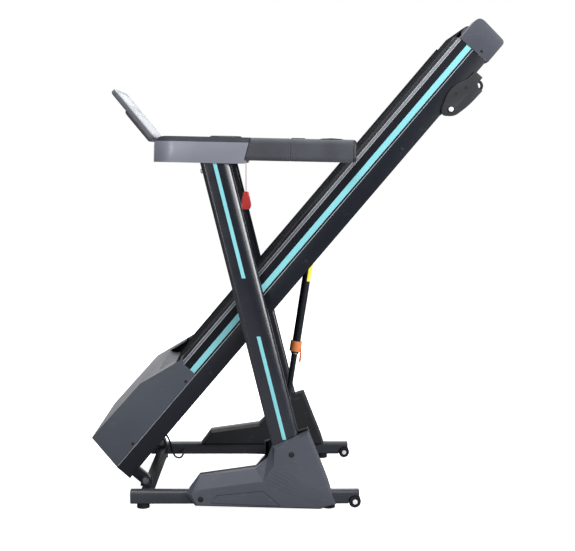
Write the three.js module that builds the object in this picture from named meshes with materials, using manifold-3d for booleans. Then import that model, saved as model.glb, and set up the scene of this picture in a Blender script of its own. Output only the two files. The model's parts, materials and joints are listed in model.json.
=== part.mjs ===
// Folding treadmill, shown folded: the running deck stands up against its gas strut.
// Millimetres, +Z up, +X toward the user, +Y across. The floor is Z = 0 and Y = 0 is the middle.
import * as THREE from 'three';
import * as BufferGeometryUtils from 'three/addons/utils/BufferGeometryUtils.js';
import Module from 'manifold-3d';

const wasm = await Module();
wasm.setup();

// ---------- driving dimensions ----------
const GAP = 0.3; // between parts that touch
const DEG = Math.PI / 180;

const BASE = {
  front: -462, rear: 179, bottom: 14, top: 52, // side rails
  inner: 317, outer: 355, wall: 2.5,
};
const BASE_MID = (BASE.inner + BASE.outer) / 2;
const PIVOT = { x: -424, z: 66.5, bolt: 6, clearance: 0.4 }; // deck pivot
const FRONT_TUBE = { front: -433, rear: -409 };
const REAR_TUBE = { front: -58, rear: -36 };
const FOOT = { radius: 18, frontX: -427, rearX: 94 };
// near and far are a disc's two faces, measured from the middle of the rail
const WHEEL = { x: 167, z: 20, radius: 17, near: 3.5, far: 17.5, hub: 7, bolt: 4 };

const UPRIGHT = {
  lean: Math.tan(14 * DEG), baseX: 7, width: 83, inner: 317.5, outer: 352,
  bottom: BASE.top + GAP, top: 978, corner: 13,
};
const SHROUD = { split: 336, outer: 374, inner: 300, bevel: 14, wall: 3 };

const CONSOLE = {
  x: -394, z: 969, slope: 1.2 * DEG, // front bottom edge, and its fall toward the user
  halfWidth: 356, depth: 269, rake: 17, height: 72, split: 58, wall: 3,
  bay: 242, bayHalf: 200, planCorner: 60, frontCorner: 38,
};
const GRIP = { inner: 300, outer: 356, bottom: 9, top: 72.4, rear: 562, corner: 12 };
const CORE = { half: 14, z0: 22, z1: 50, front: 170 };
const CUP = { x: 198, y: 256, bore: 37, wall: 3, floor: 16, rim: 3 };
const DISPLAY = { topX: -516.5, topZ: 1179.6, angle: 50.5 * DEG, length: 181, half: 155, thick: 17.5 };
const NECK = { root: 172, half: 90, ends: [0.72, 0.79, 0.86, 0.93] };

const FOLD = 49.6 * DEG; // deck angle above level when folded
const DECK = {
  railOuter: 284, railInner: 240, railBottom: 38.3, railTop: 87.8, front: -25, railRear: 1518.2,
  plate: 3, boardHalf: 250, boardTop: 141.7, boardThick: 18, boardFront: 322, boardRear: 1508,
  skirtRear: 1518.2, beltHalf: 208, belt: 2,
};
const ROLLER = { radius: 22, t: 119.5, front: 290, rear: 1553, shaft: 8, half: 212 };
const PULLEY = { y0: -236, y1: -223, roller: 29, motor: 14 };
const MOTOR = { s: 115, t: 103, radius: 45, y0: -205, y1: 55 };
const HOOD = { half: 288, wall: 3.5 };
const CAP = { front: 1518.5, rear: 1601, bottom: 33, top: 135.5, inner: 218, outer: 286 };
const INCLINE = { s: 1353.5, t: 26.3, pin: 5, wheelS: 1449.5, wheelT: 13.8, wheelR: 18 };

const STRUT = { x: -47, z: 79, length: 639.8, lean: 8.847 * DEG, rod: 9, tube: 12.5, bore: 9.7 };
const BRACE = { s: 799.1, t: 55.8, cheekIn: 20, cheekOut: 26, pin: 5 }; // deck end of the strut
const CABLE_RADIUS = 3;

// ---------- geometry helpers ----------
function solid(geometry) {
  const bare = geometry.index ? geometry.clone() : geometry;
  for (const name of ['normal', 'uv']) {
    bare.deleteAttribute(name);
  }
  const merged = BufferGeometryUtils.mergeVertices(bare, 1e-4);
  const vertProperties = new Float32Array(merged.attributes.position.array);
  const triVerts = new Uint32Array(merged.index.array);
  return new wasm.Manifold(new wasm.Mesh({ numProp: 3, vertProperties, triVerts }));
}

function geometryOf(manifold) {
  const mesh = manifold.getMesh();
  const geometry = new THREE.BufferGeometry();
  geometry.setAttribute('position', new THREE.BufferAttribute(new Float32Array(mesh.vertProperties), 3));
  geometry.setIndex(new THREE.BufferAttribute(new Uint32Array(mesh.triVerts), 1));
  return geometry;
}

function cut(from, ...tools) {
  return geometryOf(tools.reduce((left, tool) => left.subtract(solid(tool)), solid(from)));
}

function join(...pieces) {
  return geometryOf(pieces.map(solid).reduce((a, b) => a.add(b)));
}

function overlapOf(a, b) {
  return geometryOf(solid(a).intersect(solid(b)));
}

function box(x0, x1, y0, y1, z0, z1) {
  const geometry = new THREE.BoxGeometry(x1 - x0, y1 - y0, z1 - z0);
  return geometry.translate((x0 + x1) / 2, (y0 + y1) / 2, (z0 + z1) / 2);
}

// a box given by distances from the middle plane, on side -1 or 1
function sideBox(side, x0, x1, near, far, z0, z1) {
  return box(x0, x1, Math.min(side * near, side * far), Math.max(side * near, side * far), z0, z1);
}

// corners are [u, v] or [u, v, radius]
function outline(corners, segments = 5) {
  const points = corners.map(([u, v]) => new THREE.Vector2(u, v));
  const path = new THREE.Shape();
  corners.forEach(([u, v, radius = 0], i) => {
    const corner = points[i];
    const before = points[(i + points.length - 1) % points.length].clone().sub(corner).normalize();
    const after = points[(i + 1) % points.length].clone().sub(corner).normalize();
    const start = corner.clone().addScaledVector(before, radius);
    const end = corner.clone().addScaledVector(after, radius);
    if (i === 0) {
      path.moveTo(start.x, start.y);
    } else {
      path.lineTo(start.x, start.y);
    }
    if (radius > 0) {
      path.quadraticCurveTo(u, v, end.x, end.y);
    }
  });
  path.closePath();
  const sampled = path.extractPoints(segments).shape;
  return sampled.filter((p, i) => p.distanceTo(sampled[(i + 1) % sampled.length]) > 1e-6);
}

function circle(u, v, radius, sides = 24) {
  return Array.from({ length: sides }, (_, i) => {
    const angle = (2 * Math.PI * i) / sides;
    return new THREE.Vector2(u + radius * Math.cos(angle), v + radius * Math.sin(angle));
  });
}

function extrude(points, depth, holes = []) {
  const shape = new THREE.Shape(points);
  shape.holes = holes.map((hole) => new THREE.Path(hole));
  return new THREE.ExtrudeGeometry(shape, { depth, bevelEnabled: false });
}

// an outline in X and Z, from y0 to y1
function alongY(points, y0, y1, holes) {
  return extrude(points, y1 - y0, holes).rotateX(Math.PI / 2).translate(0, y1, 0);
}

function onSide(side, points, near, far, holes) {
  return alongY(points, Math.min(side * near, side * far), Math.max(side * near, side * far), holes);
}

// an outline in Y and Z, from x0 to x1
function alongX(points, x0, x1) {
  const turn = new THREE.Matrix4().makeBasis(
    new THREE.Vector3(0, 1, 0), new THREE.Vector3(0, 0, 1), new THREE.Vector3(1, 0, 0));
  return extrude(points, x1 - x0).applyMatrix4(turn).translate(x0, 0, 0);
}

function rodY(x, z, radius, y0, y1, sides = 24) {
  const geometry = new THREE.CylinderGeometry(radius, radius, y1 - y0, sides);
  return geometry.translate(x, (y0 + y1) / 2, z);
}

function rodOnSide(side, x, z, radius, near, far, sides) {
  return rodY(x, z, radius, Math.min(side * near, side * far), Math.max(side * near, side * far), sides);
}

function rodZ(x, y, radius, z0, z1, sides = 24) {
  const geometry = new THREE.CylinderGeometry(radius, radius, z1 - z0, sides).rotateX(Math.PI / 2);
  return geometry.translate(x, y, (z0 + z1) / 2);
}

// a solid of revolution about Z; the profile is [radius, z] and starts and ends on the axis
function turned(profile, sides = 24) {
  const points = profile.map(([radius, z]) => new THREE.Vector2(radius, z));
  return new THREE.LatheGeometry(points, sides).rotateX(Math.PI / 2);
}

// a closed skin through outlines with the same number of points, each lying at one y
function loftY(rings) {
  const count = rings[0].points.length;
  const forward = !THREE.ShapeUtils.isClockWise(rings[0].points);
  const ordered = rings.map(({ y, points }) => ({ y, points: forward ? points : [...points].reverse() }));
  const positions = ordered.flatMap(({ y, points }) => points.flatMap((p) => [p.x, y, p.y]));
  const faces = [];
  for (let r = 0; r < rings.length - 1; r += 1) {
    for (let i = 0; i < count; i += 1) {
      const a = r * count + i;
      const b = r * count + ((i + 1) % count);
      faces.push(a, b, b + count, a, b + count, a + count);
    }
  }
  const last = (rings.length - 1) * count;
  for (const [a, b, c] of THREE.ShapeUtils.triangulateShape(ordered[0].points, [])) {
    faces.push(c, b, a);
  }
  for (const [a, b, c] of THREE.ShapeUtils.triangulateShape(ordered[rings.length - 1].points, [])) {
    faces.push(last + a, last + b, last + c);
  }
  const geometry = new THREE.BufferGeometry();
  geometry.setAttribute('position', new THREE.Float32BufferAttribute(positions, 3));
  geometry.setIndex(faces);
  return facingOut(geometry);
}

function facingOut(geometry) {
  const p = geometry.attributes.position;
  const [a, b, c] = [0, 1, 2].map(() => new THREE.Vector3());
  let volume = 0;
  for (let i = 0; i < geometry.index.count; i += 3) {
    a.fromBufferAttribute(p, geometry.index.getX(i));
    b.fromBufferAttribute(p, geometry.index.getX(i + 1));
    c.fromBufferAttribute(p, geometry.index.getX(i + 2));
    volume += a.dot(b.cross(c));
  }
  if (volume < 0) {
    geometry.index.array.reverse();
  }
  return geometry;
}

// each corner moved inward by the same distance from both of its edges
function inset(points, distance) {
  const area = THREE.ShapeUtils.area(points);
  return points.map((point, i) => {
    const before = point.clone().sub(points[(i + points.length - 1) % points.length]).normalize();
    const after = points[(i + 1) % points.length].clone().sub(point).normalize();
    const normalA = new THREE.Vector2(-before.y, before.x);
    const normalB = new THREE.Vector2(-after.y, after.x);
    const miter = normalA.clone().add(normalB).normalize();
    const reach = (distance * Math.sign(area)) / Math.max(0.3, miter.dot(normalB));
    return point.clone().addScaledVector(miter, reach);
  });
}

// ---------- scene helpers ----------
const treadmill = new THREE.Group();
const deck = new THREE.Group();
const dash = new THREE.Group();
const strut = new THREE.Group();
deck.position.set(PIVOT.x, 0, PIVOT.z);
deck.rotation.y = -FOLD;
dash.position.set(CONSOLE.x, 0, CONSOLE.z);
dash.rotation.y = CONSOLE.slope;
strut.position.set(STRUT.x, 0, STRUT.z);
strut.rotation.y = STRUT.lean;
treadmill.add(deck, dash, strut);

const STEEL = { color: 0x2b2f36, roughness: 0.42, metalness: 0.5 };
const GREY_PLASTIC = { color: 0x54585f, roughness: 0.55, metalness: 0 };
const DARK_PLASTIC = { color: 0x2e3136, roughness: 0.6, metalness: 0 };
const RUBBER = { color: 0x141416, roughness: 0.85, metalness: 0 };
const ZINC = { color: 0xb8bcc0, roughness: 0.3, metalness: 1 };
const RED = { color: 0xc8342c, roughness: 0.45, metalness: 0 };

function part(parent, name, geometry, finish) {
  const mesh = new THREE.Mesh(geometry, new THREE.MeshStandardMaterial(finish));
  mesh.name = name;
  parent.add(mesh);
}

const SIDES = [['left', 1], ['right', -1]];

// ---------- base frame ----------
function rectangularTube(side, x0, x1, near, far, z0, z1, wall) {
  const hollow = sideBox(side, x0 - 1, x1 + 1, near + wall, far - wall, z0 + wall, z1 - wall);
  return cut(sideBox(side, x0, x1, near, far, z0, z1), hollow);
}

function baseRail(side) {
  const { front, rear, inner, outer, bottom, top, wall } = BASE;
  const tube = rectangularTube(side, front, rear, inner, outer, bottom, top, wall);
  const web = sideBox(side, WHEEL.x - 24, BASE.rear, BASE_MID - 2, BASE_MID + 2, BASE.bottom, BASE.top);
  const recesses = [-1, 1].map((way) => rodOnSide(
    side, WHEEL.x, WHEEL.z, WHEEL.radius + 2, BASE_MID + 2 * way, BASE_MID + 30 * way));
  const bore = rodOnSide(side, WHEEL.x, WHEEL.z, WHEEL.hub + GAP, BASE.inner - 5, BASE.outer);
  return cut(join(tube, web), ...recesses, bore);
}

function rubberFoot(side, x) {
  const height = BASE.bottom - GAP;
  const profile = [[0, 0], [FOOT.radius - 3, 0], [FOOT.radius, 3], [FOOT.radius, height], [0, height]];
  return turned(profile, 24).translate(x, side * BASE_MID, 0);
}

// twin discs, one on each side of the web, on a hub that turns in it
function transportWheel(side) {
  const { x, z, radius, near, far, hub, bolt } = WHEEL;
  const discs = [-1, 1].map(
    (way) => rodOnSide(side, x, z, radius, BASE_MID + near * way, BASE_MID + far * way, 32));
  const sleeve = rodOnSide(side, x, z, hub, BASE_MID - near - 1, BASE_MID + near + 1);
  return cut(join(...discs, sleeve), rodOnSide(side, x, z, bolt + GAP, BASE.inner, BASE.outer, 16));
}

function wheelBolt(side) {
  const { x, z, far, bolt } = WHEEL;
  const shank = rodOnSide(side, x, z, bolt, BASE_MID - far - 2, BASE_MID + far + 2);
  const heads = [-1, 1].map((way) => rodOnSide(
    side, x, z, 7.5, BASE_MID + (far + GAP) * way, BASE_MID + (far + 4.5) * way, 6));
  return join(shank, ...heads);
}

// the tube between the rails that carries a pair of pivot cheeks on each side
function frontCrossTube() {
  const { front, rear } = FRONT_TUBE;
  const inner = BASE.inner - GAP;
  const tube = cut(
    box(front, rear, -inner, inner, BASE.bottom, BASE.top),
    box(front + 2.5, rear - 2.5, -inner - 1, inner + 1, BASE.bottom + 2.5, BASE.top - 2.5));
  const cheek = outline([
    [PIVOT.x - 15, BASE.top - 1], [PIVOT.x + 15, BASE.top - 1],
    [PIVOT.x + 13, PIVOT.z + 13, 12], [PIVOT.x - 13, PIVOT.z + 13, 12]]);
  const bore = [circle(PIVOT.x, PIVOT.z, PIVOT.bolt + PIVOT.clearance)];
  const cheeks = [];
  for (const [, side] of SIDES) {
    cheeks.push(onSide(side, cheek, 255, 259, bore), onSide(side, cheek, 285.5, 289.5, bore));
  }
  return join(tube, ...cheeks);
}

function rearCrossTube() {
  const { front, rear } = REAR_TUBE;
  const inner = BASE.inner - GAP;
  const tube = cut(
    box(front, rear, -inner, inner, BASE.bottom, BASE.top),
    box(front + 2.5, rear - 2.5, -inner - 1, inner + 1, BASE.bottom + 2.5, BASE.top - 2.5));
  const cheek = outline([
    [STRUT.x - 16, BASE.top - 1], [STRUT.x + 16, BASE.top - 1],
    [STRUT.x + 13, STRUT.z + 13, 12], [STRUT.x - 13, STRUT.z + 13, 12]]);
  const cheeks = SIDES.map(([, side]) => onSide(side, cheek, 22, 26));
  return join(tube, ...cheeks, rodY(STRUT.x, STRUT.z, BRACE.pin, -30, 30, 16));
}

function pivotBolt(side) {
  const shank = rodOnSide(side, PIVOT.x, PIVOT.z, PIVOT.bolt, 252, 292);
  const head = rodOnSide(side, PIVOT.x, PIVOT.z, 10, 289.8, 295.5, 6);
  const nut = rodOnSide(side, PIVOT.x, PIVOT.z, 10, 247, 254.7, 6);
  return join(shank, head, nut);
}

for (const [name, side] of SIDES) {
  part(treadmill, `${name}_base_rail`, baseRail(side), STEEL);
  part(treadmill, `${name}_front_foot`, rubberFoot(side, FOOT.frontX), RUBBER);
  part(treadmill, `${name}_rear_foot`, rubberFoot(side, FOOT.rearX), RUBBER);
  part(treadmill, `${name}_transport_wheel`, transportWheel(side), RUBBER);
  part(treadmill, `${name}_wheel_bolt`, wheelBolt(side), ZINC);
  part(treadmill, `${name}_pivot_bolt`, pivotBolt(side), ZINC);
}
part(treadmill, 'front_cross_tube', frontCrossTube(), STEEL);
part(treadmill, 'rear_cross_tube', rearCrossTube(), STEEL);

// ---------- uprights and their shrouds ----------
// a column with level ends that leans toward the front; grow adds clearance all round
function leaningColumn(side, bottom, top, grow, wall = 0) {
  const half = UPRIGHT.width / 2 + grow - wall;
  const near = UPRIGHT.inner - grow + wall;
  const far = UPRIGHT.outer + grow - wall;
  const radius = UPRIGHT.corner - wall;
  const section = outline([
    [-half, side * near, radius], [half, side * near, radius],
    [half, side * far, radius], [-half, side * far, radius]], 4);
  if (THREE.ShapeUtils.isClockWise(section)) {
    section.reverse();
  }
  const lean = new THREE.Matrix4().makeShear(0, 0, 0, 0, -UPRIGHT.lean, 0);
  const column = extrude(section, top - bottom).translate(0, 0, bottom - BASE.top);
  return column.applyMatrix4(lean).translate(UPRIGHT.baseX, 0, BASE.top);
}

function upright(side) {
  const { bottom, top } = UPRIGHT;
  return cut(leaningColumn(side, bottom, top, 0), leaningColumn(side, bottom - 1, top + 1, 0, 2.5));
}

const SHROUD_FOOT = [
  [92, 79], [105, 36], [114, 16], [69, 1.5], [-280, 11], [-305, 45], [-268, 95], [-111, 117]];
const OUTER_SHROUD = [...SHROUD_FOOT, [-78, 146], [-66, 178], [35, 221]];
const OUTER_FACE = [
  [86, 77], [100, 38], [104, 18], [66, 8], [-274, 17], [-290, 45], [-262, 60], [-90, 83],
  [-61, 127], [-58, 176], [32, 214]];
const INNER_SHROUD = [...SHROUD_FOOT, [-86, 146], [-86, 188], [35, 226]];
const INNER_FACE = [
  [88, 77], [100, 38], [106, 18], [67, 6], [-276, 15], [-296, 45], [-264, 88], [-110, 110],
  [-80, 144], [-80, 184], [31, 220]];

function shroudHalf(side, rim, face, near, far) {
  const flip = (points) => points.map(([x, z]) => new THREE.Vector2(x, z));
  const direction = Math.sign(far - near);
  const shoulder = far - direction * SHROUD.bevel;
  const shell = loftY([
    { y: side * near, points: flip(rim) },
    { y: side * shoulder, points: flip(rim) },
    { y: side * far, points: flip(face) }]);
  const hollow = loftY([
    { y: side * (near - direction), points: inset(flip(rim), SHROUD.wall) },
    { y: side * (shoulder - direction), points: inset(flip(rim), SHROUD.wall) },
    { y: side * (far - direction * SHROUD.wall), points: inset(flip(face), SHROUD.wall) }]);
  const railRoom = sideBox(side, -400, 200, BASE.inner - 0.5, BASE.outer + 0.5, -5, BASE.top + 0.5);
  const columnRoom = leaningColumn(side, BASE.top, 300, 0.6);
  const tubeRoom = sideBox(
    side, REAR_TUBE.front - 0.5, REAR_TUBE.rear + 0.5, 290, BASE.inner + 5, -5, BASE.top + 0.5);
  return cut(shell, hollow, railRoom, columnRoom, tubeRoom);
}

// the inner cover sits on top of the base rail and leaves the rail's inner face open
function innerShroud(side) {
  const half = shroudHalf(side, INNER_SHROUD, INNER_FACE, SHROUD.split - GAP / 2, SHROUD.inner);
  const belowRailTop = sideBox(side, -400, 200, SHROUD.inner - 5, SHROUD.split + 5, -5, BASE.top + 0.5);
  return cut(half, belowRailTop);
}

for (const [name, side] of SIDES) {
  const { split, outer } = SHROUD;
  part(treadmill, `${name}_upright`, upright(side), STEEL);
  part(treadmill, `${name}_outer_shroud`,
    shroudHalf(side, OUTER_SHROUD, OUTER_FACE, split + GAP / 2, outer), GREY_PLASTIC);
  part(treadmill, `${name}_inner_shroud`, innerShroud(side), GREY_PLASTIC);
}

// ---------- console ----------
function consoleBody(margin) {
  const { depth, halfWidth, planCorner, bay, bayHalf, height, frontCorner, rake } = CONSOLE;
  const half = halfWidth - margin;
  const plan = outline([
    [margin, -half, planCorner], [depth + 5, -half], [depth + 5, -bayHalf - margin, 8],
    [bay - margin, -bayHalf - margin + 12, 8], [bay - margin, bayHalf + margin - 12, 8],
    [depth + 5, bayHalf + margin, 8], [depth + 5, half], [margin, half, planCorner]], 8);
  const side = outline([
    [margin, -1], [depth - rake - margin, -1], [depth - margin, height - margin],
    [margin, height - margin, frontCorner]], 8);
  const planSolid = extrude(plan, height + 10).translate(0, 0, -1);
  return overlapOf(planSolid, alongY(side, -halfWidth - 1, halfWidth + 1));
}

function consoleCuts() {
  const { lean, inner, outer } = UPRIGHT;
  const columnX = UPRIGHT.baseX - lean * (CONSOLE.z - BASE.top) - CONSOLE.x;
  const reach = UPRIGHT.width / 2 + 5;
  const tools = [];
  for (const [, side] of SIDES) {
    tools.push(sideBox(side, columnX - reach, columnX + reach, inner - 2, outer + 1, -10, 16));
    tools.push(sideBox(
      side, 230, 300, 328 - CORE.half - GAP, 328 + CORE.half + GAP, CORE.z0 - GAP, CORE.z1 + GAP));
  }
  return tools;
}

function lowerShell() {
  const { halfWidth, depth, split, wall } = CONSOLE;
  const room = overlapOf(consoleBody(wall), box(-5, depth + 5, -halfWidth, halfWidth, wall, 100));
  const above = box(-5, depth + 20, -400, 400, split, 200);
  const below = box(-5, depth + 20, -400, 400, -5, 0);
  const tray = cut(consoleBody(0), above, below);
  return cut(tray, room, ...consoleCuts());
}

function buttonPlaces() {
  return [['start_button', -46], ['stop_button', 46]];
}

function upperShell() {
  const { depth, split, wall, height } = CONSOLE;
  const lid = cut(consoleBody(0), box(-5, depth + 20, -400, 400, -5, split + GAP));
  const room = overlapOf(consoleBody(wall), box(-5, depth + 5, -400, 400, -5, height - wall));
  const cups = SIDES.map(
    ([, side]) => rodZ(CUP.x, side * CUP.y, CUP.bore + CUP.wall, CUP.floor, height + CUP.rim, 32));
  const bores = SIDES.map(([, side]) => rodZ(CUP.x, side * CUP.y, CUP.bore, CUP.floor + CUP.wall, 90, 32));
  const holes = buttonPlaces().map(([, y]) => rodZ(208, y, 15 + GAP, 40, 90));
  return cut(join(cut(lid, room), ...cups), ...bores, ...holes);
}

// A point of the console's front rounding, one gap outside it, in the display's own axes.
// t runs from 0 at the top of the rounding to 1 at its front.
function frontRounding(t) {
  const { frontCorner, height, slope, x, z } = CONSOLE;
  const origin = new THREE.Vector2();
  const outward = new THREE.Vector2(-t, 1 - t).setLength(GAP);
  return new THREE.Vector2(frontCorner * (1 - t) ** 2, height - frontCorner * t ** 2)
    .add(outward).rotateAround(origin, -slope)
    .add(new THREE.Vector2(x - DISPLAY.topX, z - DISPLAY.topZ)).rotateAround(origin, DISPLAY.angle);
}

// The bar that joins the display's lower edge to the front of the console.
function displayNeck() {
  const { root, half, ends } = NECK;
  const tip = ends.map(frontRounding);
  const outer = [new THREE.Vector2(root, tip.at(-1).y), new THREE.Vector2(root, tip[0].y), ...tip];
  return alongY(outer.reverse(), -half, half);
}

function displayHousing() {
  const { length, half, thick } = DISPLAY;
  const slab = outline([[0, -thick, 5], [length, -thick, 3], [length, 0, 3], [0, 0, 5]], 3);
  const pod = outline([
    [62, -thick + 1], [length - 1, -thick + 1], [length - 6, -thick - 9], [76, -thick - 9]]);
  const screenRoom = box(14, length - 16, -half + 18, half - 18, -2.5, 5);
  const body = join(alongY(slab, -half, half), alongY(pod, -half + 35, half - 35), displayNeck());
  return cut(body, screenRoom);
}

function handlebar(side) {
  const { inner, outer, bottom, top, rear, corner } = GRIP;
  const section = outline([
    [inner, bottom, corner], [outer, bottom, corner], [outer, top, corner], [inner, top, corner]], 4)
    .map((p) => new THREE.Vector2(side * p.x, p.y));
  if (side < 0) {
    section.reverse();
  }
  const { depth, rake, height } = CONSOLE;
  const rearX = (z) => depth - rake + (rake * z) / height + 0.4;
  const profile = outline([
    [rearX(0), 0], [rear, 0, 14], [rear, 90, 14], [rearX(90), 90]]);
  const sleeve = overlapOf(alongX(section, 200, rear), alongY(profile, -400, 400));
  const core = sideBox(side, CORE.front, 300, 328 - CORE.half, 328 + CORE.half, CORE.z0, CORE.z1);
  const pocket = sideBox(side, 462, 522, 314, 342, top - 6, top + 5);
  return cut(join(sleeve, core), pocket);
}

function gripRocker(side) {
  const { top } = GRIP;
  const crown = outline([
    [463, top - 3], [521, top - 3], [521, top + 1, 2], [492, top + 2.6], [463, top + 1, 2]]);
  return onSide(side, crown, 314.5, 341.5);
}

part(dash, 'console_lower_shell', lowerShell(), GREY_PLASTIC);
part(dash, 'console_upper_shell', upperShell(), DARK_PLASTIC);
for (const [name, side] of SIDES) {
  part(dash, `${name}_handlebar`, handlebar(side), DARK_PLASTIC);
  part(dash, `${name}_grip_rocker`, gripRocker(side), RUBBER);
}
for (const [name, y] of buttonPlaces()) {
  const finish = name === 'start_button' ? { ...GREY_PLASTIC, color: 0x3aa35a } : RED;
  part(dash, name, rodZ(208, y, 15, CONSOLE.height - 8, CONSOLE.height + 2.4), finish);
}

const screen = new THREE.Group();
screen.position.set(DISPLAY.topX, 0, DISPLAY.topZ);
screen.rotation.y = DISPLAY.angle;
treadmill.add(screen);
part(screen, 'display_housing', displayHousing(), GREY_PLASTIC);
part(screen, 'display_screen',
  box(14 + GAP, DISPLAY.length - 16 - GAP, -DISPLAY.half + 18 + GAP, DISPLAY.half - 18 - GAP, -2.2, -0.4),
  { color: 0xdfe3e6, roughness: 0.2, metalness: 0 });

// ---------- safety key, lanyard and clip ----------
const KEY = { x: -144, top: 1012, bottom: 1000, half: 11, front: -151, rear: -137 };
const CORD = { radius: 1, top: KEY.bottom - GAP, bottom: 879.6, step: 5 };
const CLIP = { x: -144, top: 879.3, bottom: 826, half: 6 };

function straightCord() {
  const route = new THREE.LineCurve3(
    new THREE.Vector3(KEY.x, 0, CORD.top), new THREE.Vector3(KEY.x, 0, CORD.bottom));
  const steps = Math.round((CORD.top - CORD.bottom) / CORD.step);
  const shape = new THREE.Shape(circle(0, 0, CORD.radius, 8));
  return new THREE.ExtrudeGeometry(shape, { extrudePath: route, steps, bevelEnabled: false });
}

function safetyKey() {
  const tab = outline([
    [KEY.front, KEY.bottom, 3], [KEY.rear, KEY.bottom, 3], [KEY.rear, KEY.top, 3], [KEY.front, KEY.top, 3]], 3);
  return alongY(tab, -KEY.half, KEY.half);
}

function safetyClip() {
  const { x, top, bottom, half } = CLIP;
  const body = outline([
    [x - 7, top, 5], [x + 7, top, 5], [x + 12, top - 18, 4], [x + 16, top - 36, 4],
    [x + 13, bottom, 5], [x - 13, bottom, 5], [x - 16, top - 36, 4], [x - 10, top - 18, 4]], 3);
  return alongY(body, -half, half);
}

part(treadmill, 'safety_key', safetyKey(), RED);
part(treadmill, 'safety_cord', straightCord(), { ...RED, roughness: 0.8 });
part(treadmill, 'safety_clip', safetyClip(), RED);

// ---------- gas strut ----------
function strutRod() {
  const stem = rodZ(0, 0, STRUT.rod, 8, 392, 20);
  const eye = rodY(0, 0, 13, -12, 12, 20);
  return cut(join(stem, eye), rodY(0, 0, BRACE.pin + PIVOT.clearance, -20, 20, 16));
}

function strutTube() {
  const sleeve = cut(rodZ(0, 0, STRUT.tube, 318, STRUT.length - 8, 24), rodZ(0, 0, STRUT.bore, 300, 612, 20));
  const eye = rodY(0, STRUT.length, 13, -14, 14, 20);
  const trunnions = cut(rodY(0, 347, 3, -15.6, 15.6, 12), rodY(0, 347, 5, -10, 10, 12));
  const bore = rodY(0, STRUT.length, BRACE.pin + 1, -20, 20, 16);
  return cut(join(sleeve, eye, trunnions), bore);
}

function latchLever() {
  const ring = cut(rodZ(0, 0, 20, 322, 354, 24), rodZ(0, 0, 16.3, 300, 370, 24));
  const pedal = box(16.8, 20, -10, 10, 300, 326);
  return join(ring, pedal);
}

part(strut, 'strut_rod', strutRod(), { ...STEEL, roughness: 0.3 });
part(strut, 'strut_tube', strutTube(), STEEL);
part(strut, 'latch_lever', latchLever(), { color: 0xf08a3c, roughness: 0.5, metalness: 0 });

// ---------- deck frame ----------
// a bent plate: web, lower flange, shelf and the upstand that carries the board
function railSection(side) {
  const { railOuter, railInner, railBottom, railTop, plate, boardTop, boardThick } = DECK;
  const shelf = boardTop - boardThick - GAP;
  const points = [
    [railOuter, railBottom], [railOuter, railTop], [railInner + plate, railTop], [railInner + plate, shelf],
    [railInner, shelf], [railInner, railTop - plate], [railOuter - plate, railTop - plate],
    [railOuter - plate, railBottom + plate], [250, railBottom + plate], [250, railBottom]];
  const section = points.map(([y, z]) => new THREE.Vector2(side * y, z));
  return side < 0 ? section.reverse() : section;
}

function deckSideRail(side) {
  const hoodRoom = sideBox(side, DECK.front - 1, 12, DECK.railInner - 1, 250, DECK.railTop, 140);
  const bar = cut(alongX(railSection(side), DECK.front, DECK.railRear), hoodRoom);
  const lug = outline([
    [-15, 40], [-15, 6], [-12.9, -5.4], [-7, -11.8], [0, -13.9],
    [7, -11.8], [12.9, -5.4], [15, 6], [15, 40]]);
  const pivotHole = [circle(0, 0, PIVOT.bolt + PIVOT.clearance)];
  const hanger = outline([
    [INCLINE.s - 16, 40], [INCLINE.s - 9, INCLINE.t - 9, 5],
    [INCLINE.s + 9, INCLINE.t - 9, 5], [INCLINE.s + 16, 40]]);
  const hangerHole = [circle(INCLINE.s, INCLINE.t, INCLINE.pin + PIVOT.clearance)];
  return join(bar, onSide(side, lug, 262, 282, pivotHole), onSide(side, hanger, 276, 281.5, hangerHole));
}

function crossMember(s0, s1, t0, t1) {
  const half = DECK.railInner - GAP;
  return cut(
    box(s0, s1, -half, half, t0, t1),
    box(s0 + 2.5, s1 - 2.5, -half - 1, half + 1, t0 + 2.5, t1 - 2.5));
}

// the strut's upper eye floats between these cheeks: their stub pins stop short of it
function strutCrossMember() {
  const member = crossMember(748, 788, 73, 94.5);
  const cheek = outline([
    [750, 74], [BRACE.s - 12, BRACE.t - 13, 6], [BRACE.s + 13, BRACE.t - 13, 10],
    [BRACE.s + 13, BRACE.t + 14, 6], [787, 94]]);
  const pieces = SIDES.flatMap(([, side]) => [
    onSide(side, cheek, BRACE.cheekIn, BRACE.cheekOut),
    rodOnSide(side, BRACE.s, BRACE.t, BRACE.pin, BRACE.cheekIn - 4, BRACE.cheekOut + 5, 16)]);
  return join(member, ...pieces);
}

for (const [name, side] of SIDES) {
  part(deck, `${name}_deck_rail`, deckSideRail(side), STEEL);
}
part(deck, 'motor_plate', box(-20, 318, -DECK.railInner + 0.5, DECK.railInner - 0.5, 42, 45), STEEL);
part(deck, 'strut_cross_member', strutCrossMember(), STEEL);
part(deck, 'rear_cross_member', crossMember(1430, 1470, 56, 90), STEEL);

// ---------- deck surface ----------
function footRail(side) {
  const bottom = DECK.railTop + GAP;
  const points = [
    [284, bottom], [284, 130], [280, 135], [258, 146], [222, 147.5], [214, 146.5], [214, 142],
    [252, 142], [276, 131.5], [281, 127], [281, bottom]];
  const section = points.map(([y, z]) => new THREE.Vector2(side * y, z));
  return alongX(side < 0 ? section.reverse() : section, DECK.boardFront, DECK.skirtRear);
}

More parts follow.
